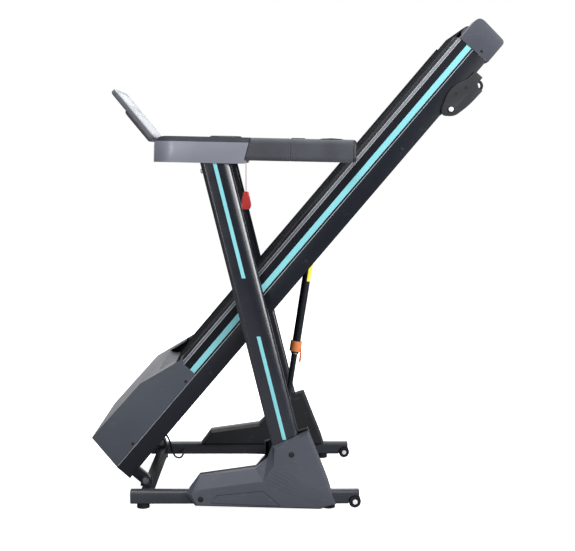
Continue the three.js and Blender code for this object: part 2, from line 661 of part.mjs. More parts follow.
// a belt round two wheels in the plane of X and Z, with its inner face at each radius
function loop(a, b, grow) {
  const dx = b.s - a.s;
  const dz = b.t - a.t;
  const heading = Math.atan2(dz, dx);
  const swing = Math.acos((a.radius - b.radius) / Math.hypot(dx, dz));
  const arc = (wheel, from, to, steps) => Array.from({ length: steps + 1 }, (_, i) => {
    const angle = from + ((to - from) * i) / steps;
    const reach = wheel.radius + grow;
    return new THREE.Vector2(wheel.s + reach * Math.cos(angle), wheel.t + reach * Math.sin(angle));
  });
  const nearB = arc(b, heading - swing, heading + swing, 14);
  const nearA = arc(a, heading + swing, heading + 2 * Math.PI - swing, 14);
  return [...nearB, ...nearA];
}

function beltRing(a, b, thickness, y0, y1) {
  return alongY(loop(a, b, GAP + thickness), y0, y1, [loop(a, b, GAP)]);
}

const frontWheel = { s: ROLLER.front, t: ROLLER.t, radius: ROLLER.radius };
const rearWheel = { s: ROLLER.rear, t: ROLLER.t, radius: ROLLER.radius };

function roller({ s, t, radius }, extra) {
  const { half, shaft } = ROLLER;
  const drum = rodY(s, t, radius, -half, half, 32);
  return join(drum, rodY(s, t, shaft, -238, 238, 20), ...extra);
}

for (const [name, side] of SIDES) {
  part(deck, `${name}_foot_rail`, footRail(side), DARK_PLASTIC);
}
part(deck, 'running_board',
  box(DECK.boardFront, DECK.boardRear, -DECK.boardHalf, DECK.boardHalf,
    DECK.boardTop - DECK.boardThick, DECK.boardTop),
  { color: 0x4a3a2c, roughness: 0.7, metalness: 0 });
part(deck, 'running_belt', beltRing(frontWheel, rearWheel, DECK.belt, -DECK.beltHalf, DECK.beltHalf), RUBBER);
part(deck, 'front_roller',
  roller(frontWheel, [rodY(ROLLER.front, ROLLER.t, PULLEY.roller, PULLEY.y0, PULLEY.y1, 32)]), ZINC);
part(deck, 'rear_roller', roller(rearWheel, []), ZINC);

// ---------- drive ----------
part(deck, 'drive_motor', join(
  rodY(MOTOR.s, MOTOR.t, MOTOR.radius, MOTOR.y0, MOTOR.y1, 32),
  box(MOTOR.s - 40, MOTOR.s + 40, MOTOR.y0 + 30, MOTOR.y1 - 30, 45.3, 62)), DARK_PLASTIC);
part(deck, 'motor_pulley', join(
  rodY(MOTOR.s, MOTOR.t, PULLEY.motor, PULLEY.y0, PULLEY.y1, 24),
  rodY(MOTOR.s, MOTOR.t, 6, PULLEY.y1 - 1, MOTOR.y0 - GAP, 16)), ZINC);
part(deck, 'drive_belt', beltRing(
  { s: MOTOR.s, t: MOTOR.t, radius: PULLEY.motor }, { s: ROLLER.front, t: ROLLER.t, radius: PULLEY.roller },
  2.5, PULLEY.y0 + 1, PULLEY.y1 - 1), RUBBER);

// ---------- motor hood ----------
const HOOD_LOW = DECK.railTop + GAP;
const HOOD_SIDE = [[-23.5, HOOD_LOW], [-5.5, 196], [202, 190.5], [336, 144], [324, 132], [324, HOOD_LOW]];
const PANEL = { inletY: 160, switchY: 110, mid: 135 }; // on the front wall

function frontWallX(t) {
  return -23.5 + (18 * (t - HOOD_LOW)) / (196 - HOOD_LOW);
}

function slantedBox(t0, t1, y, halfY, out, deep) {
  const corners = [
    [frontWallX(t0) - out, t0], [frontWallX(t1) - out, t1],
    [frontWallX(t1) + deep, t1], [frontWallX(t0) + deep, t0]];
  return alongY(outline(corners), y - halfY, y + halfY);
}

function motorHood() {
  const { half, wall } = HOOD;
  const roof = (x) => 190.5 - (46.5 * (x - 202)) / 134;
  const side = outline(HOOD_SIDE);
  const shell = alongY(side, -half, half);
  const room = outline([
    [-23.5 + wall, HOOD_LOW - 5], [-5.5 + wall, 196 - wall], [201, 190.5 - wall],
    [300, roof(300) - wall], [400, roof(300) - wall], [400, HOOD_LOW - 5]]);
  const mouth = outline([[250, 200], [256, 158], [275, 140], [400, 140], [400, 200]]);
  return cut(shell,
    alongY(room, -half + wall, half - wall),
    alongY(mouth, -DECK.beltHalf - 4, DECK.beltHalf + 4),
    slantedBox(120, 150, PANEL.inletY, 14, 5, 20),
    slantedBox(124, 146, PANEL.switchY, 14, 5, 20));
}

function powerInlet() {
  const block = slantedBox(120.4, 149.6, PANEL.inletY, 13.6, 1.5, 14);
  return cut(block, slantedBox(125, 145, PANEL.inletY, 9, 5, 11));
}

part(deck, 'motor_hood', motorHood(), GREY_PLASTIC);
part(deck, 'power_inlet', powerInlet(), DARK_PLASTIC);
part(deck, 'power_switch', slantedBox(124.6, 145.4, PANEL.switchY, 13.4, 2.5, 5), RED);

// ---------- rear end caps ----------
function endCap(side) {
  const { front, rear, bottom, top, inner, outer } = CAP;
  const shape = (margin) => outline([
    [front - margin * 2, bottom + margin], [rear - 9 - margin, bottom + margin, 13],
    [rear - margin, top - margin, 24], [front - margin * 2, top - margin]], 6);
  const shell = onSide(side, shape(0), inner, outer);
  const room = onSide(side, shape(3), inner - 5, outer - 3);
  const boss = rodOnSide(side, ROLLER.rear, ROLLER.t, 12, inner + 4, outer - 1);
  const seat = rodOnSide(side, ROLLER.rear, ROLLER.t, ROLLER.shaft + 0.4, inner - 5, 240);
  return cut(join(cut(shell, room), boss), seat);
}

for (const [name, side] of SIDES) {
  part(deck, `${name}_end_cap`, endCap(side), GREY_PLASTIC);
}

// ---------- incline feet ----------
function inclineFoot(side) {
  const plate = outline([
    [1396, -5, 20], [1345, 6, 14], [1324, 34, 10], [1336, 46, 5], [1378, 62, 16], [1416, 62, 18],
    [1450, 45, 6], [1477, 44, 2], [1477, 17], [1449, 16], [1449, -7]], 5);
  const skin = onSide(side, plate, 284.5, 290);
  const pin = rodOnSide(side, INCLINE.s, INCLINE.t, INCLINE.pin, 270, 293, 20);
  const axle = rodOnSide(side, INCLINE.wheelS, INCLINE.wheelT, 4, 267, 290, 16);
  return join(skin, pin, axle);
}

function inclineWheel(side) {
  const bore = [circle(INCLINE.wheelS, INCLINE.wheelT, 4.4, 16)];
  return onSide(side, circle(INCLINE.wheelS, INCLINE.wheelT, INCLINE.wheelR, 32), 269, 284, bore);
}

for (const [name, side] of SIDES) {
  part(deck, `${name}_incline_foot`, inclineFoot(side), DARK_PLASTIC);
  part(deck, `${name}_incline_wheel`, inclineWheel(side), RUBBER);
}

// ---------- cable from the deck to the base ----------
const CABLE_ROUTE = [
  [-423, 236, 116], [-411, 240, 100], [-402, 246, 84], [-396, 254, 66], [-393, 264, 48], [-390, 274, 32],
  [-384, 282, 18], [-375, 288, 10], [-365, 293, 10], [-357, 297, 19], [-354.5, 305, 31], [-354, 316, 33]];

function slackCable() {
  const route = new THREE.CatmullRomCurve3(CABLE_ROUTE.map((p) => new THREE.Vector3(...p)));
  const steps = Math.round(route.getLength() / (2.5 * 2 * CABLE_RADIUS));
  const shape = new THREE.Shape(circle(0, 0, CABLE_RADIUS, 8));
  return new THREE.ExtrudeGeometry(shape, { extrudePath: route, steps, bevelEnabled: false });
}

part(treadmill, 'console_cable', slackCable(), RUBBER);

export default treadmill;
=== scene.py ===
"""Looks of the folding treadmill: finishes, detailed pieces, lights and camera round the CAD frame."""
import json
import math

import bmesh
import bpy
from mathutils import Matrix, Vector


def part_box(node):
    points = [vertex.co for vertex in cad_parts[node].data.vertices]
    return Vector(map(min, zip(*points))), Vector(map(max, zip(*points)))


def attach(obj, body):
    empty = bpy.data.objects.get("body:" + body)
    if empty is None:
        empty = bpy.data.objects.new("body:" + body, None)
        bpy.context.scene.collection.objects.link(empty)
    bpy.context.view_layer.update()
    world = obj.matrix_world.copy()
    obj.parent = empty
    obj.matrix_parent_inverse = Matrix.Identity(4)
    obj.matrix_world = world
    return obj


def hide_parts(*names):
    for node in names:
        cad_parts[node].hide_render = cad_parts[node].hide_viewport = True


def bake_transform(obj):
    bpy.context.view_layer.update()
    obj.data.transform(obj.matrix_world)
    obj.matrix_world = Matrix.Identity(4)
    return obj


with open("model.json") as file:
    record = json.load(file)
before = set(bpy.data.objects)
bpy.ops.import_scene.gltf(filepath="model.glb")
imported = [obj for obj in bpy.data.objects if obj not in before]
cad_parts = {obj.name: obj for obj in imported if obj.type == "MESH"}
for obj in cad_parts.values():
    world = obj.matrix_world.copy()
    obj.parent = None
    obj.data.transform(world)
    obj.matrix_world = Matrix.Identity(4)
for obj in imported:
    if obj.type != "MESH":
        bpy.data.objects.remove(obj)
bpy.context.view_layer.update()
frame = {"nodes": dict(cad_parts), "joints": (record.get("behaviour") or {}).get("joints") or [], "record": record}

MM = 0.001
SIDES = (("left", 1), ("right", -1))


# ---------- where things are ----------
class Place:
    """A part's own axes, in millimetres: u along it, y across the machine, w up from it."""

    def __init__(self, origin, rise):
        self.origin = Vector(origin)
        self.along = Vector((math.cos(rise), 0, math.sin(rise)))
        self.up = Vector((-math.sin(rise), 0, math.cos(rise)))
        self.across = Vector((0, 1, 0))

    def __call__(self, u, y, w):
        return self.origin + MM * (u * self.along + y * self.across + w * self.up)


def centre(node):
    low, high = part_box(node)
    return (low + high) / 2


def joint(name):
    return next(j for j in frame["joints"] if j["name"] == name)


def deck_place():
    heading = centre("rear_roller") - centre("front_roller")
    return Place(joint("deck_fold")["pos_m"], math.atan2(heading.z, heading.x))


def dash_place():
    slope, tray_wall = math.radians(1.2), 0.058
    low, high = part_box("console_lower_shell")
    return Place((low.x, 0, high.z - tray_wall * math.cos(slope)), -slope)


def display_place():
    tilt = math.radians(50.5)
    edge, top, bottom = 14.3 * MM, -0.4 * MM, -2.2 * MM  # the screen in the display's own axes
    low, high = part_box("display_screen")
    x = low.x - edge * math.cos(tilt) - bottom * math.sin(tilt)
    z = high.z + edge * math.sin(tilt) - top * math.cos(tilt)
    return Place((x, 0, z), -tilt)


def strut_place():
    axis = joint("strut_stroke")["axis"]
    return Place(joint("strut_swing")["pos_m"], -math.atan2(axis[0], axis[2]))


WORLD = Place((0, 0, 0), 0)
DECK = deck_place()
DASH = dash_place()
DISPLAY = display_place()
STRUT = strut_place()


# ---------- camera ----------
CAMERA_PLACE = (-0.0467, -4.275, 0.9826)
LOOKS_DOWN, LOOKS_RIGHT = math.radians(4.76), math.radians(0.36)
LENS, SENSOR_WIDTH = 89.2, 36


def add_camera():
    """A long lens that faces the machine's side and looks slightly down."""
    data = bpy.data.cameras.new("photo_camera")
    data.sensor_width = SENSOR_WIDTH
    data.lens = LENS
    camera = bpy.data.objects.new("photo_camera", data)
    camera.location = CAMERA_PLACE
    camera.rotation_euler = (math.radians(90) - LOOKS_DOWN, 0, -LOOKS_RIGHT)
    bpy.context.scene.collection.objects.link(camera)
    bpy.context.scene.camera = camera


add_camera()


# ---------- finishes ----------
def linear(*rgb):
    """A screen colour, 0 to 255, as the light that a shader works with."""
    return tuple((c / 255 / 12.92 if c <= 10 else ((c / 255 + 0.055) / 1.055) ** 2.4) for c in rgb) + (1,)


class Surface:
    """A principled material with its colour, gloss and relief textured in the object's own space."""

    def __init__(self, name, roughness, metallic=0.0, coat=0.0, sheen=0.0, specular=0.5):
        self.material = bpy.data.materials.new(name)
        self.material.use_nodes = True
        self.tree = self.material.node_tree
        self.shader = self.tree.nodes["Principled BSDF"]
        for socket, value in (("Metallic", metallic), ("Roughness", roughness), ("Coat Weight", coat),
                              ("Sheen Weight", sheen), ("Specular IOR Level", specular)):
            self.shader.inputs[socket].default_value = value
        self.roughness = roughness
        self.place = self.add("ShaderNodeTexCoord").outputs["Object"]
        self.paint = None
        self.relief = None

    def add(self, kind, **settings):
        node = self.tree.nodes.new(kind)
        for key, value in settings.items():
            setattr(node, key, value)
        return node

    def link(self, output, socket):
        self.tree.links.new(output, socket)

    def stretched(self, scale):
        mapping = self.add("ShaderNodeMapping")
        mapping.inputs["Scale"].default_value = scale
        self.link(self.place, mapping.inputs["Vector"])
        return mapping.outputs["Vector"]

    def noise(self, scale, detail, stretch=None):
        node = self.add("ShaderNodeTexNoise")
        node.inputs["Scale"].default_value = scale
        node.inputs["Detail"].default_value = detail
        self.link(self.stretched(stretch) if stretch else self.place, node.inputs["Vector"])
        return node.outputs["Fac"]

    def cells(self, scale):
        node = self.add("ShaderNodeTexVoronoi")
        node.inputs["Scale"].default_value = scale
        self.link(self.place, node.inputs["Vector"])
        return node.outputs["Distance"]

    def ramp(self, factor, low, high, start=0.3, end=0.7):
        node = self.add("ShaderNodeValToRGB")
        node.color_ramp.elements[0].position = start
        node.color_ramp.elements[0].color = low
        node.color_ramp.elements[1].position = end
        node.color_ramp.elements[1].color = high
        self.link(factor, node.inputs["Fac"])
        return node.outputs["Color"]

    def colour(self, low, high, scale, stretch=None):
        self.paint = self.ramp(self.noise(scale, 4.0, stretch), low, high)
        self.link(self.paint, self.shader.inputs["Base Color"])
        return self

    def gloss(self, spread, scale, stretch=None):
        node = self.add("ShaderNodeMapRange")
        node.inputs["To Min"].default_value = self.roughness - spread
        node.inputs["To Max"].default_value = self.roughness + spread
        self.link(self.noise(scale, 5.0, stretch), node.inputs["Value"])
        self.link(node.outputs["Result"], self.shader.inputs["Roughness"])
        return self

    def bump(self, height, strength, distance):
        node = self.add("ShaderNodeBump")
        node.inputs["Strength"].default_value = strength
        node.inputs["Distance"].default_value = distance
        self.link(height, node.inputs["Height"])
        if self.relief:
            self.link(self.relief, node.inputs["Normal"])
        self.relief = node.outputs["Normal"]
        self.link(self.relief, self.shader.inputs["Normal"])
        return self

    def scuffs(self, colour, amount):
        """Scattered rub marks, a little lighter than the paint round them."""
        none, most = (0, 0, 0, 1), (amount, amount, amount, 1)
        mask = self.ramp(self.noise(38, 8.0, (1, 1, 2.2)), none, most, 0.62, 0.74)
        mix = self.add("ShaderNodeMix", data_type="RGBA")
        self.link(mask, mix.inputs["Factor"])
        self.link(self.paint, mix.inputs["A"])
        mix.inputs["B"].default_value = colour
        self.link(mix.outputs["Result"], self.shader.inputs["Base Color"])
        return self


def powder_coat(name, low, high, roughness, specular=0.35):
    """Oven-cured paint: a fine orange peel, slightly uneven gloss and faint rub marks."""
    surface = Surface(name, roughness, specular=specular)
    surface.colour(low, high, 5.0).scuffs(linear(74, 78, 86), 0.12)
    surface.gloss(0.05, 30.0).bump(surface.noise(700, 2.0), 0.06, 0.0001)
    return surface.material


def moulded(name, low, high, roughness, grain=1400, depth=0.25, specular=0.5):
    """Injection-moulded plastic: a leathery spark-eroded grain with faint flow marks."""
    surface = Surface(name, roughness, specular=specular)
    surface.colour(low, high, 4.0).scuffs(linear(128, 131, 138), 0.10)
    surface.gloss(0.07, 24.0)
    surface.bump(surface.cells(grain), depth, 0.0001)
    surface.bump(surface.noise(60, 4.0), 0.04, 0.0004)
    return surface.material


def foam(name, low, high):
    """Closed-cell grip foam: soft, matt and full of tiny cells."""
    surface = Surface(name, 0.85, sheen=0.25, specular=0.3)
    surface.colour(low, high, 9.0).gloss(0.06, 50.0)
    surface.bump(surface.cells(1100), 0.6, 0.0006).bump(surface.noise(260, 5.0), 0.3, 0.0006)
    return surface.material


def rubber(name, low, high, roughness=0.75):
    surface = Surface(name, roughness, specular=0.35)
    surface.colour(low, high, 12.0).gloss(0.08, 40.0).bump(surface.noise(700, 4.0), 0.35, 0.0004)
    return surface.material


def belt_weave(name):
    """A treadmill belt: black PVC pressed with a fine diamond pattern."""
    surface = Surface(name, 0.85, specular=0.03)
    surface.colour(linear(9, 11, 14), linear(18, 20, 24), 5.0).gloss(0.08, 30.0)
    for turn in (math.radians(45), math.radians(-45)):
        mapping = surface.add("ShaderNodeMapping")
        mapping.inputs["Rotation"].default_value = (0, 0, turn)
        surface.link(surface.place, mapping.inputs["Vector"])
        wave = surface.add("ShaderNodeTexWave", bands_direction="X")
        wave.inputs["Scale"].default_value = 90
        surface.link(mapping.outputs["Vector"], wave.inputs["Vector"])
        surface.bump(wave.outputs["Fac"], 0.35, 0.0006)
    return surface.material


def bright_metal(name, low, high):
    """Plated steel with fine brushed lines."""
    stretch = (40, 40, 4000)
    surface = Surface(name, 0.28, metallic=1.0)
    surface.colour(low, high, 1.0, stretch).gloss(0.08, 1.0, stretch)
    surface.bump(surface.noise(1.0, 3.0, stretch), 0.12, 0.0002)
    return surface.material


def glossy(name, low, high, roughness, coat):
    surface = Surface(name, roughness, coat=coat)
    surface.colour(low, high, 7.0).gloss(0.05, 35.0).bump(surface.noise(50, 2.0), 0.02, 0.0002)
    return surface.material


def cord_braid(name, low, high):
    surface = Surface(name, 0.7, sheen=0.3)
    surface.colour(low, high, 300.0).gloss(0.08, 200.0).bump(surface.cells(1600), 0.5, 0.0004)
    return surface.material


FINISH = {
    "frame_steel": powder_coat("satin_steel", linear(13, 16, 25), linear(18, 22, 32), 0.36, 0.28),
    "shroud_plastic": moulded("shroud_grey", linear(64, 67, 76), linear(74, 77, 87), 0.38),
    "hood_plastic": moulded("hood_slate", linear(56, 60, 69), linear(64, 69, 78), 0.42),
    "dark_plastic": moulded("dark_grained", linear(18, 20, 24), linear(27, 30, 35), 0.5),
    "grip_foam": foam("grip_foam", linear(55, 57, 63), linear(70, 72, 79)),
    "rubber": rubber("black_rubber", linear(14, 14, 15), linear(26, 26, 28)),
    "belt_rubber": belt_weave("running_belt"),
    "steel_bright": bright_metal("zinc_steel", linear(168, 170, 173), linear(208, 210, 214)),
    "skirt_aluminium": powder_coat("anodised_black", linear(13, 15, 20), linear(19, 21, 27), 0.45, 0.15),
    "screen": glossy("screen_glass", linear(168, 172, 177), linear(182, 186, 191), 0.4, 0.2),
    "red_plastic": glossy("red_plastic", linear(246, 64, 60), linear(254, 84, 78), 0.35, 0.2),
    "green_plastic": glossy("green_plastic", linear(32, 120, 62), linear(44, 146, 78), 0.35, 0.2),
    "red_cord": cord_braid("red_braid", linear(120, 14, 20), linear(176, 30, 36)),
    "orange_plastic": moulded("orange_moulding", linear(222, 128, 64), linear(234, 142, 82), 0.45),
    "cable_jacket": rubber("cable_jacket", linear(12, 12, 13), linear(20, 20, 22), 0.5),
    "board": moulded("phenolic_board", linear(52, 38, 26), linear(74, 56, 38), 0.6, 300),
}
TEAL = glossy("teal_trim", linear(120, 194, 202), linear(134, 206, 213), 0.42, 0.0)
# Pale grey, used for the buttons' printed marks and as painted highlight along the lit top edges of the deck rail
# and the foot rails.
PALE_PRINT_AND_HIGHLIGHT = glossy("pale_print_and_highlight", linear(150, 156, 164), linear(176, 182, 190), 0.35, 0.1)
YELLOW = glossy("yellow_label", linear(244, 224, 50), linear(252, 236, 84), 0.45, 0.1)
PALE_METAL = glossy("plated_head", linear(196, 198, 202), linear(226, 228, 232), 0.3, 0.4)
SCREW = rubber("blackened_screw", linear(16, 17, 19), linear(28, 29, 32), 0.4)
COLUMN = powder_coat("column_steel", linear(18, 21, 30), linear(25, 29, 39), 0.23, 0.7)
BLUED = glossy("blued_steel", linear(66, 68, 74), linear(84, 87, 94), 0.3, 0.3)
BASE_STEEL = powder_coat("base_steel", linear(44, 46, 52), linear(54, 57, 64), 0.34)
# Mid grey painted highlight for the lit top bevel of the foot rails.
RAIL_TOP_HIGHLIGHT = glossy("rail_top_highlight", linear(84, 86, 92), linear(100, 102, 108), 0.5, 0.0)
RIB = glossy("foot_rail_rib", linear(24, 25, 28), linear(32, 33, 37), 0.6, 0.0)
# Darker grey painted shade for the fine creases on the outer shrouds.
CREASE_SHADE = moulded("shroud_crease_shade", linear(46, 48, 55), linear(56, 58, 66), 0.5)
# Near-black painted shade, laid in gaps, joints, grooves, recesses, slots and dimples where shadow falls.
PAINTED_SHADE = rubber("seam_shadow", linear(10, 11, 13), linear(18, 19, 22), 0.8)
LCD = glossy("lcd_ink", linear(96, 106, 112), linear(112, 122, 128), 0.5, 0.0)
DISPLAY_GREY = moulded("display_grey", linear(84, 86, 92), linear(98, 100, 106), 0.45)
DISPLAY_FACE = glossy("display_face", linear(150, 152, 157), linear(164, 166, 171), 0.6, 0.0)
PANEL_BLACK = moulded("panel_black", linear(14, 15, 18), linear(20, 22, 26), 0.6, specular=0.15)
# Near-black painted shade for the shrouds' inner faces, which look dark only because they sit in shadow.
SHADED_SHROUD_INSIDE = moulded("shroud_inside_painted_shade", linear(13, 14, 18), linear(20, 22, 27), 0.55)


# ---------- mesh helpers ----------
def smoothing_group(degrees):
    """Geometry nodes that shade a mesh smooth but keep every edge sharper than the limit."""
    limit = math.radians(degrees)
    group = bpy.data.node_groups.new(f"smooth_below_{degrees}", "GeometryNodeTree")
    for in_out in ("INPUT", "OUTPUT"):
        group.interface.new_socket("Geometry", in_out=in_out, socket_type="NodeSocketGeometry")
    nodes, links = group.nodes, group.links
    source, sink = nodes.new("NodeGroupInput"), nodes.new("NodeGroupOutput")
    faces = nodes.new("GeometryNodeSetShadeSmooth")
    edges = nodes.new("GeometryNodeSetShadeSmooth")
    edges.domain = "EDGE"
    edges.inputs["Shade Smooth"].default_value = False
    angle = nodes.new("GeometryNodeInputMeshEdgeAngle")
    compare = nodes.new("FunctionNodeCompare")
    compare.operation = "GREATER_THAN"
    compare.inputs["B"].default_value = limit
    links.new(angle.outputs["Unsigned Angle"], compare.inputs["A"])
    links.new(compare.outputs["Result"], edges.inputs["Selection"])
    links.new(source.outputs[0], faces.inputs["Geometry"])
    links.new(faces.outputs["Geometry"], edges.inputs["Geometry"])
    links.new(edges.outputs["Geometry"], sink.inputs[0])
    return group


SMOOTHING, FACETED = smoothing_group(32), smoothing_group(10)


def soften(obj, bevel=0.0, weld=False, smoothing=SMOOTHING):
    """Rounds the hard edges by bevel millimetres and shades the rest smooth."""
    if weld:
        obj.modifiers.new("weld", "WELD").merge_threshold = 1e-5
    if bevel:
        modifier = obj.modifiers.new("bevel", "BEVEL")
        modifier.width = bevel * MM
        modifier.segments = 3
        modifier.limit_method = "ANGLE"
        modifier.angle_limit = math.radians(30)
        modifier.use_clamp_overlap = True
    obj.modifiers.new("smooth", "NODES").node_group = smoothing
    return obj


def mesh_object(name, points, faces):
    mesh = bpy.data.meshes.new(name)
    mesh.from_pydata([tuple(p) for p in points], [], faces)
    shape = bmesh.new()
    shape.from_mesh(mesh)
    bmesh.ops.remove_doubles(shape, verts=shape.verts, dist=1e-6)
    bmesh.ops.recalc_face_normals(shape, faces=shape.faces)
    shape.to_mesh(mesh)
    shape.free()
    obj = bpy.data.objects.new(name, mesh)
    bpy.context.scene.collection.objects.link(obj)
    return obj


def dress(obj, body, material, bevel=0.0, replaces=()):
    obj.data.materials.append(material)
    soften(obj, bevel)
    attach(obj, body)
    if replaces:
        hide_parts(*replaces)
    return obj


def loft(rings):
    """A closed skin through rings with the same number of points, as (points, faces)."""
    count = len(rings[0])
    points = [p for ring in rings for p in ring]
    faces = []
    for r in range(len(rings) - 1):
        for i in range(count):
            a, b = r * count + i, r * count + (i + 1) % count
            faces.append((a, b, b + count, a + count))
    last = (len(rings) - 1) * count
    faces.append(tuple(reversed(range(count))))
    faces.append(tuple(last + i for i in range(count)))
    return points, faces


def joined(shells):
    """Several (points, faces) as one."""
    points, faces = [], []
    for more_points, more_faces in shells:
        faces += [tuple(i + len(points) for i in face) for face in more_faces]
        points += more_points
    return points, faces


def rounded(corners, steps=6):
    """An outline from corners (u, v) or (u, v, radius); a radius is drawn as a curve close to an arc."""
    points = []
    for i, corner in enumerate(corners):
        here = Vector(corner[:2])
        radius = corner[2] if len(corner) > 2 else 0
        if not radius:
            points.append(tuple(here))
            continue
        before = (Vector(corners[i - 1][:2]) - here).normalized()
        after = (Vector(corners[(i + 1) % len(corners)][:2]) - here).normalized()
        start, end = here + before * radius, here + after * radius
        pull = 0.9 * here + 0.05 * (start + end)  # nine tenths of the way from the chord to the corner
        for k in range(steps + 1):
            t = k / steps
            points.append(tuple((1 - t) ** 2 * start + 2 * t * (1 - t) * pull + t * t * end))
    return points


def box_outline(u0, v0, u1, v1):
    """A rectangle's four corners, in turn from (u0, v0)."""
    return [(u0, v0), (u1, v0), (u1, v1), (u0, v1)]


def soft_box(u0, v0, u1, v1, radius, steps=6):
    """A rectangle with rounded corners."""
    return rounded([(u, v, radius) for u, v in box_outline(u0, v0, u1, v1)], steps)


def slab(outline, place, y0, y1):
    """An outline in a place's u and w, from y0 to y1."""
    return loft([[place(u, y, w) for u, w in outline] for y in (y0, y1)])


def plate(outline, place, w0, w1):
    """An outline in a place's u and y, from w0 to w1."""
    return loft([[place(u, y, w) for u, y in outline] for w in (w0, w1)])


def elliptic_outline(corners, steps=10):
    """An outline whose corners (u, v, ru, rv) are quarter ellipses, anticlockwise from the lower left."""
    points = []
    for k, (u, v, ru, rv) in enumerate(corners):
        cu = u + (ru if k in (0, 3) else -ru)
        cv = v + (rv if k in (0, 1) else -rv)
        first = math.pi + k * math.pi / 2
        for i in range(steps + 1):
            a = first + i * math.pi / 2 / steps
            points.append((cu + ru * math.cos(a), cv + rv * math.sin(a)))
    return points


def tube(path, radius, sides=12):
    """A round bar along a list of points, in metres."""
    rings = []
    for i, p in enumerate(path):
        heading = (path[min(i + 1, len(path) - 1)] - path[max(i - 1, 0)]).normalized()
        side = heading.cross(Vector((0, 1, 0)))
        if side.length < 0.1:
            side = heading.cross(Vector((0, 0, 1)))
        side.normalize()
        other = heading.cross(side)
        turns = [2 * math.pi * k / sides for k in range(sides)]
        rings.append([p + radius * (math.cos(a) * side + math.sin(a) * other) for a in turns])
    return loft(rings)


def curve_through(points, steps):
    """Points of a Catmull-Rom curve through the given ones."""
    curve = []
    padded = [2 * points[0] - points[1], *points, 2 * points[-1] - points[-2]]
    for i in range(1, len(padded) - 2):
        p0, p1, p2, p3 = padded[i - 1:i + 3]
        for k in range(steps):
            t = k / steps
            curve.append(0.5 * ((2 * p1) + (p2 - p0) * t + (2 * p0 - 5 * p1 + 4 * p2 - p3) * t * t
                                + (3 * p1 - p0 - 3 * p2 + p3) * t ** 3))
    curve.append(points[-1])
    return curve


# ---------- cords ----------
def metres(points):
    return [Vector(p) * MM for p in points]


def safety_lanyard():
    """The red cord that hangs from the safety key to its clothes clip."""
    x, top, bottom, radius, steps = -0.144, 0.9997, 0.8796, 0.001, 24
    path = [Vector((x, 0, top + (bottom - top) * k / steps)) for k in range(steps + 1)]
    cord = mesh_object("lanyard_cord", *tube(path, radius))
    dress(cord, "safety_key", FINISH["red_cord"], replaces=["safety_cord"])
    clip = clothes_clip()


def clothes_clip():
    """The moulded clip that goes on the user's clothes, with finger ridges down its sides."""
    x, top, bottom, half = -144, 879.3, 826, 6
    levels = [(top, 5), (top - 2, 8), (top - 13, 9.6)]
    for k in range(5):
        z = top - 15 - 5 * k
        levels += [(z, 11.4 + k), (z - 3, 11.8 + k), (z - 3.8, 10.4 + k)]
    levels += [(top - 41, 15.8), (bottom + 8, 14.6), (bottom + 2, 12.4), (bottom, 9)]
    rings = []
    for z, reach in levels:
        section = elliptic_outline([(x - reach, -half, 4, 4), (x + reach, -half, 4, 4),
                                    (x + reach, half, 4, 4), (x - reach, half, 4, 4)], 4)
        rings.append([WORLD(u, y, z) for u, y in section])
    clip = mesh_object("lanyard_clip", *loft(rings))
    return dress(clip, "safety_key", FINISH["red_plastic"], 0, ["safety_clip"])


def console_lead():
    """The slack lead that crosses from the deck's motor plate to the base rail."""
    route = [
        (-423, 236, 116), (-411, 240, 100), (-402, 246, 84), (-396, 254, 66), (-393, 264, 48),
        (-390, 274, 32), (-384, 282, 18), (-375, 288, 10), (-365, 293, 10), (-357, 297, 19),
        (-354.5, 305, 31), (-354, 316, 33)]
    path, radius = curve_through(metres(route), 6), 0.003
    lead = mesh_object("console_lead", *tube(path, radius))
    lead.data.materials.append(FINISH["cable_jacket"])
    soften(lead)
    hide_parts("console_cable")
    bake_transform(lead)


safety_lanyard()
console_lead()


# ---------- uprights ----------
UPRIGHT_WIDTH = 83


def upright_axis(side_name):
    """The column's middle line as a function of height, all in millimetres."""
    low, high = (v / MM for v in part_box(f"{side_name}_upright"))
    shift = high.x - low.x - UPRIGHT_WIDTH
    foot = high.x - UPRIGHT_WIDTH / 2
    return lambda z: foot - shift * (z - low.z) / (high.z - low.z)


def upright(side_name, side):
    """The pressed column: a broad rounding on its rear outer edge, tighter ones elsewhere."""
    low, high = (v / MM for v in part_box(f"{side_name}_upright"))
    near, far = min(abs(low.y), abs(high.y)), max(abs(low.y), abs(high.y))
    axis = upright_axis(side_name)
    half = UPRIGHT_WIDTH / 2
    corners = [(-half, near, 9, 9), (half, near, 12, 9), (half, far, 40, 16), (-half, far, 13, 7)]
    section = elliptic_outline(corners)
    rings = [[WORLD(axis(z) + u, side * v, z) for u, v in section] for z in (low.z, high.z)]
    column = mesh_object(f"{side_name}_column", *loft(rings))
    dress(column, "base", COLUMN, replaces=[f"{side_name}_upright"])
    upright_stripe(side_name, side, axis, far)
    height = 944
    front = Vector((axis(height) - half, side * (near + far) / 2, height)) * MM
    profile = [(0, -0.5), (8, -0.5), (8, 0.8), (6.4, 1), (6.4, 4), (5, 5.2), (0, 5.2)]
    head = turned_to(profile, front, Vector((-1, 0, -0.25)))
    dress(mesh_object(f"{side_name}_column_bolt", *head), "base", PALE_METAL)


def square_to(axis):
    """Two unit directions square to an axis and to each other."""
    one = axis.cross(Vector((1, 0, 0)) if abs(axis.y) > 0.9 else Vector((0, 1, 0))).normalized()
    return one, axis.cross(one)


def turned_to(profile, spot, axis, sides=24):
    """A solid of revolution about any axis; the profile is (radius, distance along it)."""
    axis = axis.normalized()
    one, two = square_to(axis)
    turns = [2 * math.pi * k / sides for k in range(sides)]
    rings = [[spot + MM * (radius * math.cos(a) * one + radius * math.sin(a) * two + reach * axis)
              for a in turns] for radius, reach in profile]
    return loft(rings)


